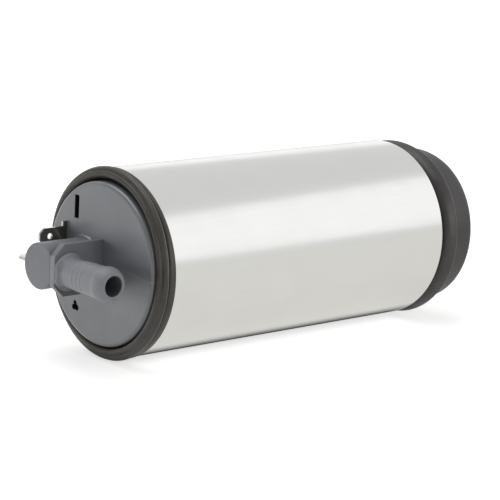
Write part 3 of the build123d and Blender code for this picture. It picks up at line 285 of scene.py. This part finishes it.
coat_node(
    sintered_metal("sintered_bronze", "#C49A62", "#8A6238",
                   roughness=0.42, pore_mm=0.3),
    "front_bearing_bush", "rear_bearing_bush")
coat_node(
    sintered_metal("sintered_steel_gears", "#A3A3A4", "#6E6F72",
                   roughness=0.36, pore_mm=0.3),
    "inner_gear", "outer_gear")
coat_node(
    sintered_metal("sintered_steel_ring", "#98989A", "#66676A",
                   roughness=0.4, pore_mm=0.35),
    "eccentric_ring")

# Field magnets and choke rods
# Arc magnets and rods of baked ferrite, ground to size: charcoal grey and matt like fired clay.
# Grinding leaves them nearly plain, with tiny chips that catch the light.
coat_node(
    sintered_metal("ground_ferrite", "#4C4D50", "#37383B",
                   roughness=0.55, pore_mm=0.4, metallic=0.0),
    "upper_magnet", "lower_magnet", "choke_cores")

# Carbon brushes
# Blocks of pressed graphite and copper powder, almost black, with a faint slippery shine.
# The springs push them against the commutator's face.
coat_node(
    sintered_metal("pressed_graphite", "#414143", "#28282A",
                   roughness=0.48, pore_mm=0.25, metallic=0.2),
    "upper_brush", "lower_brush")

# Springs and magnet clips
# Spring steel: coils of drawn wire, and bent strips tempered blue that hold the magnets apart.
# Drawing leaves faint lines along the wire, and heat gives the strips their dark tint.


def drawn_metal(name, pale, deep, roughness, squeeze, line_mm, relief_mm=0.003):
    """Metal drawn or rolled: faint lines, which a squeeze below 1 stretches along the axis."""
    cloud_mm = 12.5
    material, shader, mm = start_material(name, roughness, metallic=1.0)
    drawn = add_node(material, "Mapping", None, {"Vector": (mm, 0), "Scale": (squeeze, 1.0, 1.0)})
    lines = add_node(material, "TexNoise", None,
                     {"Vector": (drawn, 0), "Scale": 1 / line_mm, "Detail": 3.0})
    clouds = add_node(material, "TexNoise", None,
                      {"Vector": (mm, 0), "Scale": 1 / cloud_mm, "Detail": 3.0})
    both = add_node(material, "Mix", {"data_type": "FLOAT"},
                    {"Factor": 0.5, first_in: (lines, 0), second_in: (clouds, 0)})
    shade = add_node(material, "MapRange", None,
                     {"Value": (both, 0), "From Min": 0.38, "From Max": 0.62})
    colour = add_node(material, "Mix", {"data_type": "RGBA"},
                      {"Factor": (shade, 0), deep_in: linear(deep), pale_in: linear(pale)})
    gloss = add_node(material, "MapRange", None,
                     {"Value": (both, 0), "From Min": 0.35, "From Max": 0.65,
                      "To Min": roughness + 0.03, "To Max": roughness - 0.03})
    scratch = add_node(material, "Bump", None,
                       {"Height": (lines, 0), "Strength": 0.25, "Distance": relief_mm / 1000})
    feed(material, shader, (colour, colour_out), (gloss, 0), (scratch, 0))
    return material


coat_node(
    drawn_metal("drawn_spring_wire", "#C4C4C6", "#96979A",
                roughness=0.26, squeeze=1.0, line_mm=0.2),
    "check_valve_spring", "relief_valve_spring", "upper_brush_spring", "lower_brush_spring")
coat_node(
    drawn_metal("blued_spring_strip", "#5E6878", "#404A5C",
                roughness=0.3, squeeze=0.1, line_mm=0.3),
    "magnet_clips")

# Brush leads
# Flexible leads of bare copper wire, braided so that they bend as the brushes wear.
# The plait shows as small slanted strands about 0.4 mm apart.
strand_scale = 0.9
strand_relief_mm = 0.06
lead_material, lead_shader, lead_mm = start_material("braided_copper",
                                                     roughness=0.38, metallic=1.0)
strands = add_node(lead_material, "TexWave",
                   {"wave_type": "BANDS", "bands_direction": "DIAGONAL"},
                   {"Vector": (lead_mm, 0), "Scale": strand_scale, "Distortion": 1.2,
                    "Detail": 1.0})
lead_colour = add_node(lead_material, "Mix", {"data_type": "RGBA"},
                       {"Factor": (strands, 1), deep_in: linear("#8A4A2A"),
                        pale_in: linear("#E2A27A")})
plait = add_node(lead_material, "Bump", None,
                 {"Height": (strands, 1), "Strength": 0.8, "Distance": strand_relief_mm / 1000})
feed(lead_material, lead_shader, (lead_colour, colour_out), normal=(plait, 0))
coat_node(lead_material, "upper_brush_shunt", "lower_brush_shunt")

# Brush holder
# A black glass-filled moulding that carries the brushes, the front bush and the chokes.
# Short glass fibres give the black a faint grey speckle.
coat_node(
    moulded_plastic("moulded_black_nylon", "#2C2C2E", "#1E1E20",
                    roughness=0.46, patch_mm=3.0, grain_mm=0.35),
    "brush_holder")

# Motor can
# A deep-drawn steel tube, zinc plated, rolled in over the stage at its rear end.
# The plating is a cool even grey with faint lines from the drawing.
coat_node(
    drawn_metal("zinc_plated_steel", "#B4B8BC", "#93989E",
                roughness=0.34, squeeze=0.06, line_mm=0.5),
    "motor_can")

# Pump stage plates and inlet cover
# Aluminium castings with machined faces, held together by the stage screws.
# The cutter leaves fine rings across each face.
coat_node(
    turned_metal("machined_cast_aluminium", "#CFCFCD", "#A6A6A5",
                 roughness=0.36, line_mm=0.3, relief_mm=0.008),
    "outlet_port_plate", "inlet_port_plate", "inlet_cover")

# Stage screws
# Blackened steel screws that clamp the stage's plates together.
# The dark oxide has an oily half shine and a fine paler speckle.
coat_node(
    sintered_metal("blackened_steel", "#4A4B4E", "#2B2C2F",
                   roughness=0.36, pore_mm=0.5),
    "stage_screws")

# Valve seats and relief ball
# Turned brass seats, pressed into the outlet cover, and a hard steel ball with a mirror finish.
# The brass is a warm pale yellow with bright cut rings.
coat_node(
    turned_metal("turned_brass", "#DCC084", "#B7935A",
                 roughness=0.26, line_mm=0.2),
    "check_valve_seat", "relief_valve_seat")
coat_node(
    turned_metal("ground_ball_steel", "#D2D2D4", "#C2C2C5",
                 roughness=0.12, line_mm=0.4, relief_mm=0.001),
    "relief_valve_ball")

# Seals
# O-rings that seal the outlet cover and the inlet end, and the washer of the check valve.
# They are moulded from brown fuel-proof rubber, smooth and slightly oily.


def moulded_rubber(name, pale, deep, roughness, patch_mm, grain_mm):
    """Moulded rubber: a dark even ground, a thin dusty bloom in patches and a fine grain."""
    relief_mm = 0.02
    material, shader, mm = start_material(name, roughness)
    bloom = add_node(material, "TexNoise", None,
                     {"Vector": (mm, 0), "Scale": 1 / patch_mm, "Detail": 5.0, "Roughness": 0.6})
    grain = add_node(material, "TexNoise", None,
                     {"Vector": (mm, 0), "Scale": 1 / grain_mm, "Detail": 3.0})
    both = add_node(material, "Mix", {"data_type": "FLOAT"},
                    {"Factor": 0.3, first_in: (bloom, 0), second_in: (grain, 0)})
    shade = add_node(material, "MapRange", None,
                     {"Value": (both, 0), "From Min": 0.36, "From Max": 0.66})
    colour = add_node(material, "Mix", {"data_type": "RGBA"},
                      {"Factor": (shade, 0), deep_in: linear(deep), pale_in: linear(pale)})
    gloss = add_node(material, "MapRange", None,
                     {"Value": (both, 0), "From Min": 0.3, "From Max": 0.7,
                      "To Min": roughness - 0.05, "To Max": roughness + 0.08})
    skin = add_node(material, "Bump", None,
                    {"Height": (grain, 0), "Strength": 0.3, "Distance": relief_mm / 1000})
    feed(material, shader, (colour, colour_out), (gloss, 0), (skin, 0))
    return material


coat_node(
    moulded_rubber("moulded_brown_rubber", "#5A4034", "#3E2A21",
                   roughness=0.36, patch_mm=3.0, grain_mm=0.3),
    "cover_seal_ring", "inlet_seal_ring", "check_valve_washer")

# Outlet cover
# One moulding of bluish grey glass-filled nylon: disc, valve post, flange plate and hose barb.
# The disc is polished and the rest scuffed matt, with a faint flow line. The colour also holds
# painted light: a paler post, plate and barb, painted highlights on the plate's front edge and the
# collar's edge, and painted shade in the corners, the slot, the vent and the barb's bore.


def source_of(shader, socket):
    """The node that feeds a socket."""
    return shader.inputs[socket].links[0].from_node


def within(material, source, low, high, soft):
    """1 where a value lies between low and high, fading to 0 over the soft width on both sides."""
    rise = add_node(material, "MapRange", None,
                    {"Value": source, "From Min": low - soft, "From Max": low})
    fall = add_node(material, "MapRange", None,
                    {"Value": source, "From Min": high, "From Max": high + soft,
                     "To Min": 1.0, "To Max": 0.0})
    return add_node(material, "Math", {"operation": "MULTIPLY"}, {0: (rise, 0), 1: (fall, 0)})


def tinted(material, under, colour, strength, *masks):
    """Lays a colour over the one below, where all the masks are 1."""
    for mask in masks:
        weaker = add_node(material, "Math", {"operation": "MULTIPLY"},
                          {0: strength, 1: (mask, 0)})
        strength = (weaker, 0)
    return add_node(material, "Mix", {"data_type": "RGBA"},
                    {"Factor": strength, deep_in: (under, colour_out), pale_in: linear(colour)})


cover_material = moulded_plastic("moulded_grey_nylon", "#727479", "#696B70",
                                 roughness=0.36, patch_mm=9.0, grain_mm=0.5, relief_mm=0.005)
cover_shader = shader_of(cover_material)
cover_shader.inputs["Coat Roughness"].default_value = 0.3
cover_place = add_node(cover_material, "SeparateXYZ", None,
                       {"Vector": (place_in_mm(cover_material), 0)})
along, aside, above = (cover_place, "X"), (cover_place, "Y"), (cover_place, "Z")

barb_axis = (-69.8, 0.0, -0.5)
barb_section = add_node(cover_material, "CombineXYZ", None, {"X": along, "Z": above})
barb_distance = add_node(cover_material, "VectorMath", {"operation": "DISTANCE"},
                         {0: (barb_section, 0), 1: barb_axis})
barb_radius = (barb_distance, "Value")
height = add_node(cover_material, "Math", {"operation": "ABSOLUTE"}, {0: above})
off_middle = (height, 0)

flow_line_slope = add_node(cover_material, "MapRange", None,
                           {"Value": aside, "From Min": -21.0, "From Max": -11.0,
                            "To Min": -0.6, "To Max": 0.4})
flow_line_gap = add_node(cover_material, "Math", {"operation": "SUBTRACT"},
                         {0: above, 1: (flow_line_slope, 0)})
off_flow_line = (flow_line_gap, 0)

# Each mark has its colour and strength, and then the places where it lies, in mm.
past_post = -80.0
past_barb = -30.0
cover_marks = {
    "flow line on the disc": (
        "#B4B6BA", 0.28, (off_flow_line, -0.06, 0.06, 0.1),
        (aside, past_barb, -13.5, 2.0), (along, -58.5, -50.0, 0.1)),
    # Painted light: the post, plate and barb are coloured paler than the disc, as if more brightly
    # lit.
    "painted light on post, plate and barb": (
        "#8E9197", 0.24, (along, past_post, -62.0, 2.0)),
    # Painted light: the barb's outer part is coloured paler still, as if more brightly lit.
    "painted light on the barb": (
        "#8E9197", 0.5, (aside, past_barb, -4.0, 2.5), (along, past_post, -60.0, 0.5)),
    # Painted shade: the insides of the slot and the vent are coloured near-black where shade falls.
    "painted shade in slot and vent": (
        "#17181A", 0.9, (along, -57.9, -54.5, 0.15),
        (aside, 8.6, 12.6, 0.2), (off_middle, 11.0, 19.0, 0.2)),
    # Painted shade: the barb's bore is coloured darker where shade falls inside it.
    "painted shade in the barb bore": (
        "#303134", 0.5, (barb_radius, 0.0, 2.95, 0.05), (aside, -20.9, -2.0, 0.2)),
    # Painted highlight: the plate's front edge is coloured paler.
    "painted highlight on the plate front edge": (
        "#8B8E94", 0.65, (along, past_post, -74.45, 0.1), (aside, -1.0, 1.2, 0.1)),
    # Painted highlight: a pale ring on the collar's edge at the barb's root.
    "painted highlight on the collar edge": (
        "#909399", 0.7, (barb_radius, 5.1, 5.6, 0.1), (aside, -1.95, -1.6, 0.1)),
    # Painted shade: a dark band where the post's end meets the plate's front edge.
    "painted shade in the corner beside the plate": (
        "#34363A", 0.75, (along, -74.35, -73.9, 0.05),
        (aside, 0.9, 1.6, 0.5), (above, -4.6, 4.6, 0.5)),
    # Painted shade: a thin dark line along the outer side of the plate's front edge.
    "painted shade line along the plate": (
        "#3A3C40", 0.35, (along, past_post, -74.2, 0.1),
        (aside, -1.3, -1.05, 0.1), (above, -5.4, 5.4, 0.3)),
    # Painted shade: a darker patch on the plate and collar under the barb's root.
    "painted shade in the corner under the barb": (
        "#3C3E42", 0.5, (along, past_post, -62.0, 0.3),
        (aside, -3.4, -0.9, 0.3), (above, -8.0, -4.2, 0.9)),
}
cover_colour = source_of(cover_shader, "Base Color")
for colour, strength, *places in cover_marks.values():
    masks = [within(cover_material, *place) for place in places]
    cover_colour = tinted(cover_material, cover_colour, colour, strength, *masks)

matt_up_to, polished_from = -62.0, -59.0
polish = add_node(cover_material, "MapRange", None,
                  {"Value": along, "From Min": matt_up_to, "From Max": polished_from,
                   "To Min": 0.3, "To Max": 1.0})
cover_material.node_tree.links.new(polish.outputs[0], cover_shader.inputs["Coat Weight"])
scuffs = add_node(cover_material, "MapRange", None,
                  {"Value": along, "From Min": matt_up_to, "From Max": polished_from,
                   "To Min": 0.16, "To Max": 0.0})
scuffed = add_node(cover_material, "Math", {"operation": "ADD"},
                   {0: (source_of(cover_shader, "Roughness"), 0), 1: (scuffs, 0)})
feed(cover_material, cover_shader, (cover_colour, colour_out), (scuffed, 0))
coat_node(cover_material, "outlet_cover")

# Blade terminals
# Stamped from tinned brass strip, 0.8 mm thick: one 4.8 mm blade and one 6.3 mm blade.
# The tin is soft and dull, with faint rolling lines. The narrow blade's broad faces are
# coloured dark grey as a painted reflection, and its cut edges keep the tin's bright colour.
rolled_squeeze = 0.15
coat_node(
    drawn_metal("tinned_brass", "#CFCEC8", "#BDBCB6",
                roughness=0.2, squeeze=rolled_squeeze, line_mm=0.3),
    "wide_terminal")
narrow_blade_y = 15.8
broad_face_from = 0.38
past_blade = 9.0
dark_tin = drawn_metal("tin_painted_dark_faces", "#D8D7D2", "#C6C5BF",
                       roughness=0.2, squeeze=rolled_squeeze, line_mm=0.3)
dark_shader = shader_of(dark_tin)
dark_place = add_node(dark_tin, "SeparateXYZ", None, {"Vector": (place_in_mm(dark_tin), 0)})
strip_offset = add_node(dark_tin, "Math", {"operation": "SUBTRACT"},
                        {0: (dark_place, "Y"), 1: narrow_blade_y})
strip_side = add_node(dark_tin, "Math", {"operation": "ABSOLUTE"}, {0: (strip_offset, 0)})
broad_faces = within(dark_tin, (strip_side, 0), broad_face_from, past_blade, 0.03)
# Painted reflection: the broad faces are coloured dark grey.
dark_colour = tinted(dark_tin, source_of(dark_shader, "Base Color"), "#86867F", 0.95, broad_faces)
feed(dark_tin, dark_shader, (dark_colour, colour_out))
coat_node(dark_tin, "narrow_terminal")

# Front rubber ring
# Moulded in warm near-black rubber with a satin skin, and pushed in between the cover's skirt and
# the sleeve: a nose, a round lobe with a thin rim, a groove, and a bead that laps the sleeve's
# end. It sits a little askew.
ring_rubber = moulded_rubber("moulded_black_rubber", "#47443F", "#373530",
                             roughness=0.38, patch_mm=6.0, grain_mm=0.35)
coat_node(ring_rubber, "front_rubber_ring")


def lathe_piece(name, outline, material, lean):
    """A closed outline of (place along the axis, radius) in mm, turned once round the axis."""
    steps = 144
    corners = []
    for step in range(steps):
        angle = 2 * math.pi * step / steps
        for along, radius in outline:
            y = radius * math.cos(angle)
            z = radius * math.sin(angle)
            shift, lift = lean(along, y, z)
            corners.append(((along + shift) / 1000, y / 1000, (z + lift) / 1000))
    count = len(outline)
    faces = []
    for step in range(steps):
        here = step * count
        after = (step + 1) % steps * count
        for i in range(count):
            j = (i + 1) % count
            faces.append((here + i, here + j, after + j, after + i))
    mesh = bpy.data.meshes.new(name)
    mesh.from_pydata(corners, [], faces)
    mesh.shade_smooth()
    mesh.materials.append(material)
    piece = bpy.data.objects.new(name, mesh)
    bpy.context.scene.collection.objects.link(piece)
    rounding = piece.modifiers.new("rounding", "SUBSURF")
    rounding.levels = 1
    rounding.render_levels = 1
    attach(piece, "pump_body")
    return piece


def ring_lean(along, y, z):
    """The ring's front stands further out at its right and upper left, its nose a little up."""
    lean_from, lean_over = -53.0, 1.1
    nose_from, nose_over = -55.7, 0.7
    out_per_y, out_per_z = 0.035, 0.025
    ring_r, less_at_top, nose_lift = 27, 1.6, 0.3
    out = min(1.0, max(0.0, (lean_from - along) / lean_over))
    nose = min(1.0, max(0.0, (nose_from - along) / nose_over))
    upper_left = 1.0 - less_at_top * max(0.0, z / ring_r) if y > 0 else 1.0
    return out * (out_per_y * y * upper_left + out_per_z * z), nose * nose_lift


ring_nose = [(-53.9, 24.1), (-55.4, 24.0), (-56.1, 24.02), (-56.6, 24.25), (-56.88, 24.7),
             (-56.95, 25.2), (-56.84, 25.58), (-56.6, 25.84), (-56.32, 25.92)]
ring_lobe = [(-56.08, 25.95), (-55.96, 26.15), (-55.95, 26.5), (-55.88, 26.82), (-55.66, 27.1),
             (-55.25, 27.34)]
ring_rim = [(-54.9, 27.42), (-54.72, 27.4), (-54.66, 27.3), (-54.62, 26.9), (-54.55, 26.2)]
ring_groove = [(-54.45, 26.0), (-54.25, 25.95), (-54.12, 26.15), (-54.05, 26.65), (-53.85, 27.05)]
ring_bead = [(-53.5, 27.26), (-53.0, 27.28), (-52.85, 27.18), (-52.85, 27.04), (-53.0, 27.02),
             (-53.24, 26.9)]
ring_seat = [(-53.24, 25.95), (-53.0, 25.95), (-46.2, 25.95), (-46.0, 25.8), (-46.0, 23.6),
             (-46.2, 23.51), (-53.2, 23.51), (-53.5, 23.8)]
ring_outline = ring_nose + ring_lobe + ring_rim + ring_groove + ring_bead + ring_seat
ring_piece = lathe_piece("front_ring_lobes", ring_outline, ring_rubber, ring_lean)
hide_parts("front_rubber_ring")

# Parting line of the ring
# The two halves of the mould leave a thin raised line on the ring's rim. It is coloured paler
# than the rubber round it, a painted highlight along the rim.
rim_highlight_rubber = moulded_rubber("black_rubber_painted_highlight", "#8C8B84", "#6C6B65",
                             roughness=0.42, patch_mm=9.0, grain_mm=0.3)


def line_outline(along, radius, width):
    """A thin half-round bead that stands on a surface."""
    half = width / 2
    shoulder = 0.02
    return [(along - half, radius - half), (along - half, radius + shoulder),
            (along, radius + half),
            (along + half, radius + shoulder), (along + half, radius - half)]


ring_line = lathe_piece("ring_parting_line", line_outline(along=-54.75, radius=27.4, width=0.26),
                        rim_highlight_rubber, ring_lean)

# Rear rubber boot
# A dustier black rubber, moulded as a cup that grips the can inside the sleeve: a dark neck next
# to the sleeve, a flare that ends in a rim with its own parting line, and a plain rounded cup
# that opens for the inlet.
boot_rubber = moulded_rubber("dusty_black_rubber", "#4B4847", "#3A3838",
                             roughness=0.36, patch_mm=6.0, grain_mm=0.35)
coat_node(boot_rubber, "rear_rubber_boot")


def boot_lean(along, y, z):
    """The flared rim and the cup's outside are pressed in a little at the top."""
    press_from, press_over, press_depth = 53.3, 3.0, 0.95
    inside_r = 22.5
    radius = math.hypot(y, z)
    rim = min(1.0, max(0.0, (along - press_from) / press_over)) if radius > inside_r else 0.0
    return 0.0, -press_depth * rim * max(0.0, z / radius) ** 3


boot_flare = [(53.3, 25.6), (53.45, 24.6), (54.0, 23.9), (54.9, 23.9), (55.4, 24.6),
              (55.8, 25.7), (56.6, 26.55), (57.6, 27.0), (58.5, 27.32), (59.0, 27.42)]
boot_cup = [(59.2, 27.4), (59.32, 27.25), (59.4, 26.6), (59.6, 24.8), (59.9, 24.0),
            (60.8, 23.98), (64.0, 24.15), (67.6, 24.45), (68.4, 24.42), (68.95, 24.1),
            (69.2, 23.4), (69.2, 22.6)]
boot_mouth = [(69.15, 22.1), (68.9, 21.7), (68.4, 21.47), (67.6, 21.45), (60.3, 21.45),
              (60.1, 21.3), (60.1, 20.6), (59.9, 20.42)]
boot_grip = [(51.9, 20.42), (51.63, 20.6), (51.63, 21.9), (51.5, 22.06), (44.2, 22.06),
             (44.0, 22.3), (44.0, 25.7), (44.2, 25.94), (53.0, 25.94)]
boot_outline = boot_flare + boot_cup + boot_mouth + boot_grip
boot_piece = lathe_piece("rear_boot_cup", boot_outline, boot_rubber, boot_lean)
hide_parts("rear_rubber_boot")
# The boot's parting line is coloured pale too, a painted highlight on its rim.
boot_line = lathe_piece("boot_parting_line", line_outline(along=59.05, radius=27.4, width=0.16),
                        rim_highlight_rubber, boot_lean)

# Outer sleeve
# Thin aluminium tube, drawn and left bare, with lightly rolled ends. Its satin skin spreads
# reflections into broad bands, and very faint drawing lines run from end to end.
coat_node(
    drawn_metal("drawn_aluminium", "#DEDEDC", "#DCDCDA",
                roughness=0.22, squeeze=0.02, line_mm=0.35, relief_mm=0.0001),
    "outer_sleeve")

# Inlet strainer
# A black moulded frame with six spokes, and a disc of woven nylon mesh welded to it.
# The threads are drawn 1 mm apart, coarser than the real cloth, so that the weave shows.
coat_node(
    moulded_plastic("moulded_black_acetal", "#2A2A2B", "#1D1D1E",
                    roughness=0.4, patch_mm=3.0, grain_mm=0.4),
    "strainer_frame")
thread_mm = 1.0
thread_relief_mm = 0.1
mesh_material, mesh_shader, mesh_mm = start_material("woven_nylon", roughness=0.45)
warp, weft = [add_node(mesh_material, "TexWave",
                       {"wave_type": "BANDS", "bands_direction": direction},
                       {"Vector": (mesh_mm, 0), "Scale": wave_spacing / thread_mm})
              for direction in "YZ"]
cloth = add_node(mesh_material, "Math", {"operation": "MAXIMUM"}, {0: (warp, 1), 1: (weft, 1)})
mesh_colour = add_node(mesh_material, "Mix", {"data_type": "RGBA"},
                       {"Factor": (cloth, 0), deep_in: linear("#4F4E49"),
                        pale_in: linear("#D8D7CF")})
mesh_relief = add_node(mesh_material, "Bump", None,
                       {"Height": (cloth, 0), "Strength": 0.7,
                        "Distance": thread_relief_mm / 1000})
feed(mesh_material, mesh_shader, (mesh_colour, colour_out), normal=(mesh_relief, 0))
coat_node(mesh_material, "strainer_mesh")

# Floor
# A wide sheet of matt white paper that the pump lies on. It keeps the pump's soft shadow, and
# seen straight on it glows less towards the outlet end, which paints that shadow darker there.
# The metal mirrors it as a bright glowing sheet with a painted shadow close under the pump.
floor_height = -0.02752
reach = 6.0
floor_corners = [(x * reach, y * reach, floor_height)
                 for x, y in ((-1, -1), (1, -1), (1, 1), (-1, 1))]
floor_mesh = bpy.data.meshes.new("paper_floor")
floor_mesh.from_pydata(floor_corners, [], [(0, 1, 2, 3)])
floor = bpy.data.objects.new("paper_floor", floor_mesh)
bpy.context.scene.collection.objects.link(floor)

paper = bpy.data.materials.new("white_paper")
paper.use_nodes = True
paper_shader = shader_of(paper)
paper_shader.inputs["Base Color"].default_value = linear("#F4F4F2")
paper_shader.inputs["Roughness"].default_value = 0.9
paper_shader.inputs["Specular IOR Level"].default_value = 0.1
paper_light = add_node(paper, "LightPath")
paper_spot = add_node(paper, "TexCoord")
paper_place = add_node(paper, "SeparateXYZ", None, {"Vector": (paper_spot, "Object")})
spot_aside = add_node(paper, "Math", {"operation": "ABSOLUTE"}, {0: (paper_place, "Y")})
spot_along = add_node(paper, "Math", {"operation": "ABSOLUTE"}, {0: (paper_place, "X")})
# Painted shadow: the mirrored glow is cut off close under the pump.
clear_aside = add_node(paper, "MapRange", None,
                       {"Value": (spot_aside, 0), "From Min": 0.008, "From Max": 0.013})
clear_along = add_node(paper, "MapRange", None,
                       {"Value": (spot_along, 0), "From Min": 0.052, "From Max": 0.066})
open_air = add_node(paper, "Math", {"operation": "MAXIMUM"},
                    {0: (clear_aside, 0), 1: (clear_along, 0)})
# Painted shadow: the glow seen straight on is weaker towards the outlet end, so the shadow there
# looks darker.
paler = add_node(paper, "MapRange", None,
                 {"Value": (paper_place, "X"), "From Min": -0.085, "From Max": -0.035,
                  "To Min": 0.50, "To Max": 0.68})
glow = add_node(paper, "Math", {"operation": "MULTIPLY"},
                {0: (paper_light, "Is Camera Ray"), 1: (paler, 0)})
white = add_node(paper, "Emission", None, {"Color": (1, 1, 1, 1), "Strength": (glow, 0)})
sheet = add_node(paper, "AddShader", None, {0: (paper_shader, 0), 1: (white, 0)})
mirrored = add_node(paper, "Math", {"operation": "MULTIPLY"},
                    {0: (paper_light, "Is Glossy Ray"), 1: 0.8})
bounce = add_node(paper, "Math", {"operation": "MULTIPLY"}, {0: (open_air, 0), 1: 0.99})
reflected = add_node(paper, "Emission", None,
                     {"Color": linear("#FFFEFA"), "Strength": (bounce, 0)})
both_looks = add_node(paper, "MixShader", None,
                      {0: (mirrored, 0), 1: (sheet, 0), 2: (reflected, 0)})
paper_output = paper.node_tree.nodes["Material Output"]
paper.node_tree.links.new(both_looks.outputs[0], paper_output.inputs["Surface"])
floor_mesh.materials.append(paper)

# Studio
# White walls all round, darker in mirrors towards the outlet end, and five softboxes: at the
# right, behind, at the side, overhead, and a strong low one at the left of the outlet end, which
# lights the rubber and the cover without being mirrored in them.
world = bpy.data.worlds.new("white_studio")
bpy.context.scene.world = world
world.use_nodes = True
background = world.node_tree.nodes["Background"]
wall_light = 0.17
world_path = add_node(world, "LightPath")
world_spot = add_node(world, "TexCoord")
world_place = add_node(world, "SeparateXYZ", None, {"Vector": (world_spot, "Generated")})
room = add_node(world, "MapRange", None,
                {"Value": (world_place, "X"), "From Min": -0.5, "From Max": 0.4,
                 "To Min": 0.3, "To Max": 0.84})
world_mirrored = add_node(world, "Mix", {"data_type": "FLOAT"},
                          {"Factor": (world_path, "Is Glossy Ray"), first_in: wall_light,
                           second_in: (room, 0)})
world_clear = add_node(world, "Math", {"operation": "MAXIMUM"},
                       {0: (world_path, "Is Camera Ray"),
                        1: (world_path, "Is Transmission Ray")})
world_level = add_node(world, "Math", {"operation": "MAXIMUM"},
                       {0: (world_mirrored, 0), 1: (world_clear, 0)})
world.node_tree.links.new(world_level.outputs[0], background.inputs["Strength"])
background.inputs["Color"].default_value = (1, 1, 1, 1)


def soft_lamp(name, place, aim, width, height, level):
    """A softbox: level is how bright its face looks, where 1 is white."""
    data = bpy.data.lights.new(name, "AREA")
    data.shape = "RECTANGLE"
    data.size = width
    data.size_y = height
    data.energy = level * math.pi * width * height
    lamp = bpy.data.objects.new(name, data)
    lamp.location = place
    lamp.rotation_mode = "QUATERNION"
    lamp.rotation_quaternion = (Vector(aim) - Vector(place)).to_track_quat("-Z", "Y")
    bpy.context.scene.collection.objects.link(lamp)
    return lamp


pump_middle = (0.0, 0.0, 0.0)
pump_front = (-0.05, 0.0, 0.0)
soft_lamp("right_softbox", (0.80, -0.75, 0.53), pump_middle, width=1.8, height=0.88, level=0.42)
soft_lamp("back_softbox", (0.90, 0.95, 0.30), pump_middle, width=1.4, height=0.4, level=0.35)
key_lamp = soft_lamp("left_softbox", (-0.86, 0.76, 0.07), pump_front,
                     width=1.4, height=0.30, level=6.6)
key_lamp.visible_glossy = False
soft_lamp("side_softbox", (-0.05, -1.25, 0.30), pump_front, width=0.9, height=0.7, level=1.6)
soft_lamp("top_softbox", (-0.28, 0.20, 1.15), pump_middle, width=1.2, height=0.9, level=1.9)

# Camera
# Stands at the outlet end's right and a little above, with a long lens, so that the barb and the
# whole sleeve are seen at once.
camera_place = (-0.4334, -0.4721, 0.1361)
camera_data = bpy.data.cameras.new("camera")
camera_data.lens = 158.7
camera_data.sensor_width = 36.0
camera_data.clip_start = 0.01
camera_data.clip_end = 50.0
camera = bpy.data.objects.new("camera", camera_data)
right = Vector((0.74395, -0.66639, 0.04957))
forward = Vector((0.65998, 0.72113, -0.21072))
up = right.cross(forward)
turn = Matrix((right, up, -forward)).transposed()
camera.matrix_world = Matrix.Translation(camera_place) @ turn.to_4x4()
bpy.context.scene.collection.objects.link(camera)
bpy.context.scene.camera = camera
bpy.context.scene.view_settings.view_transform = "Standard"
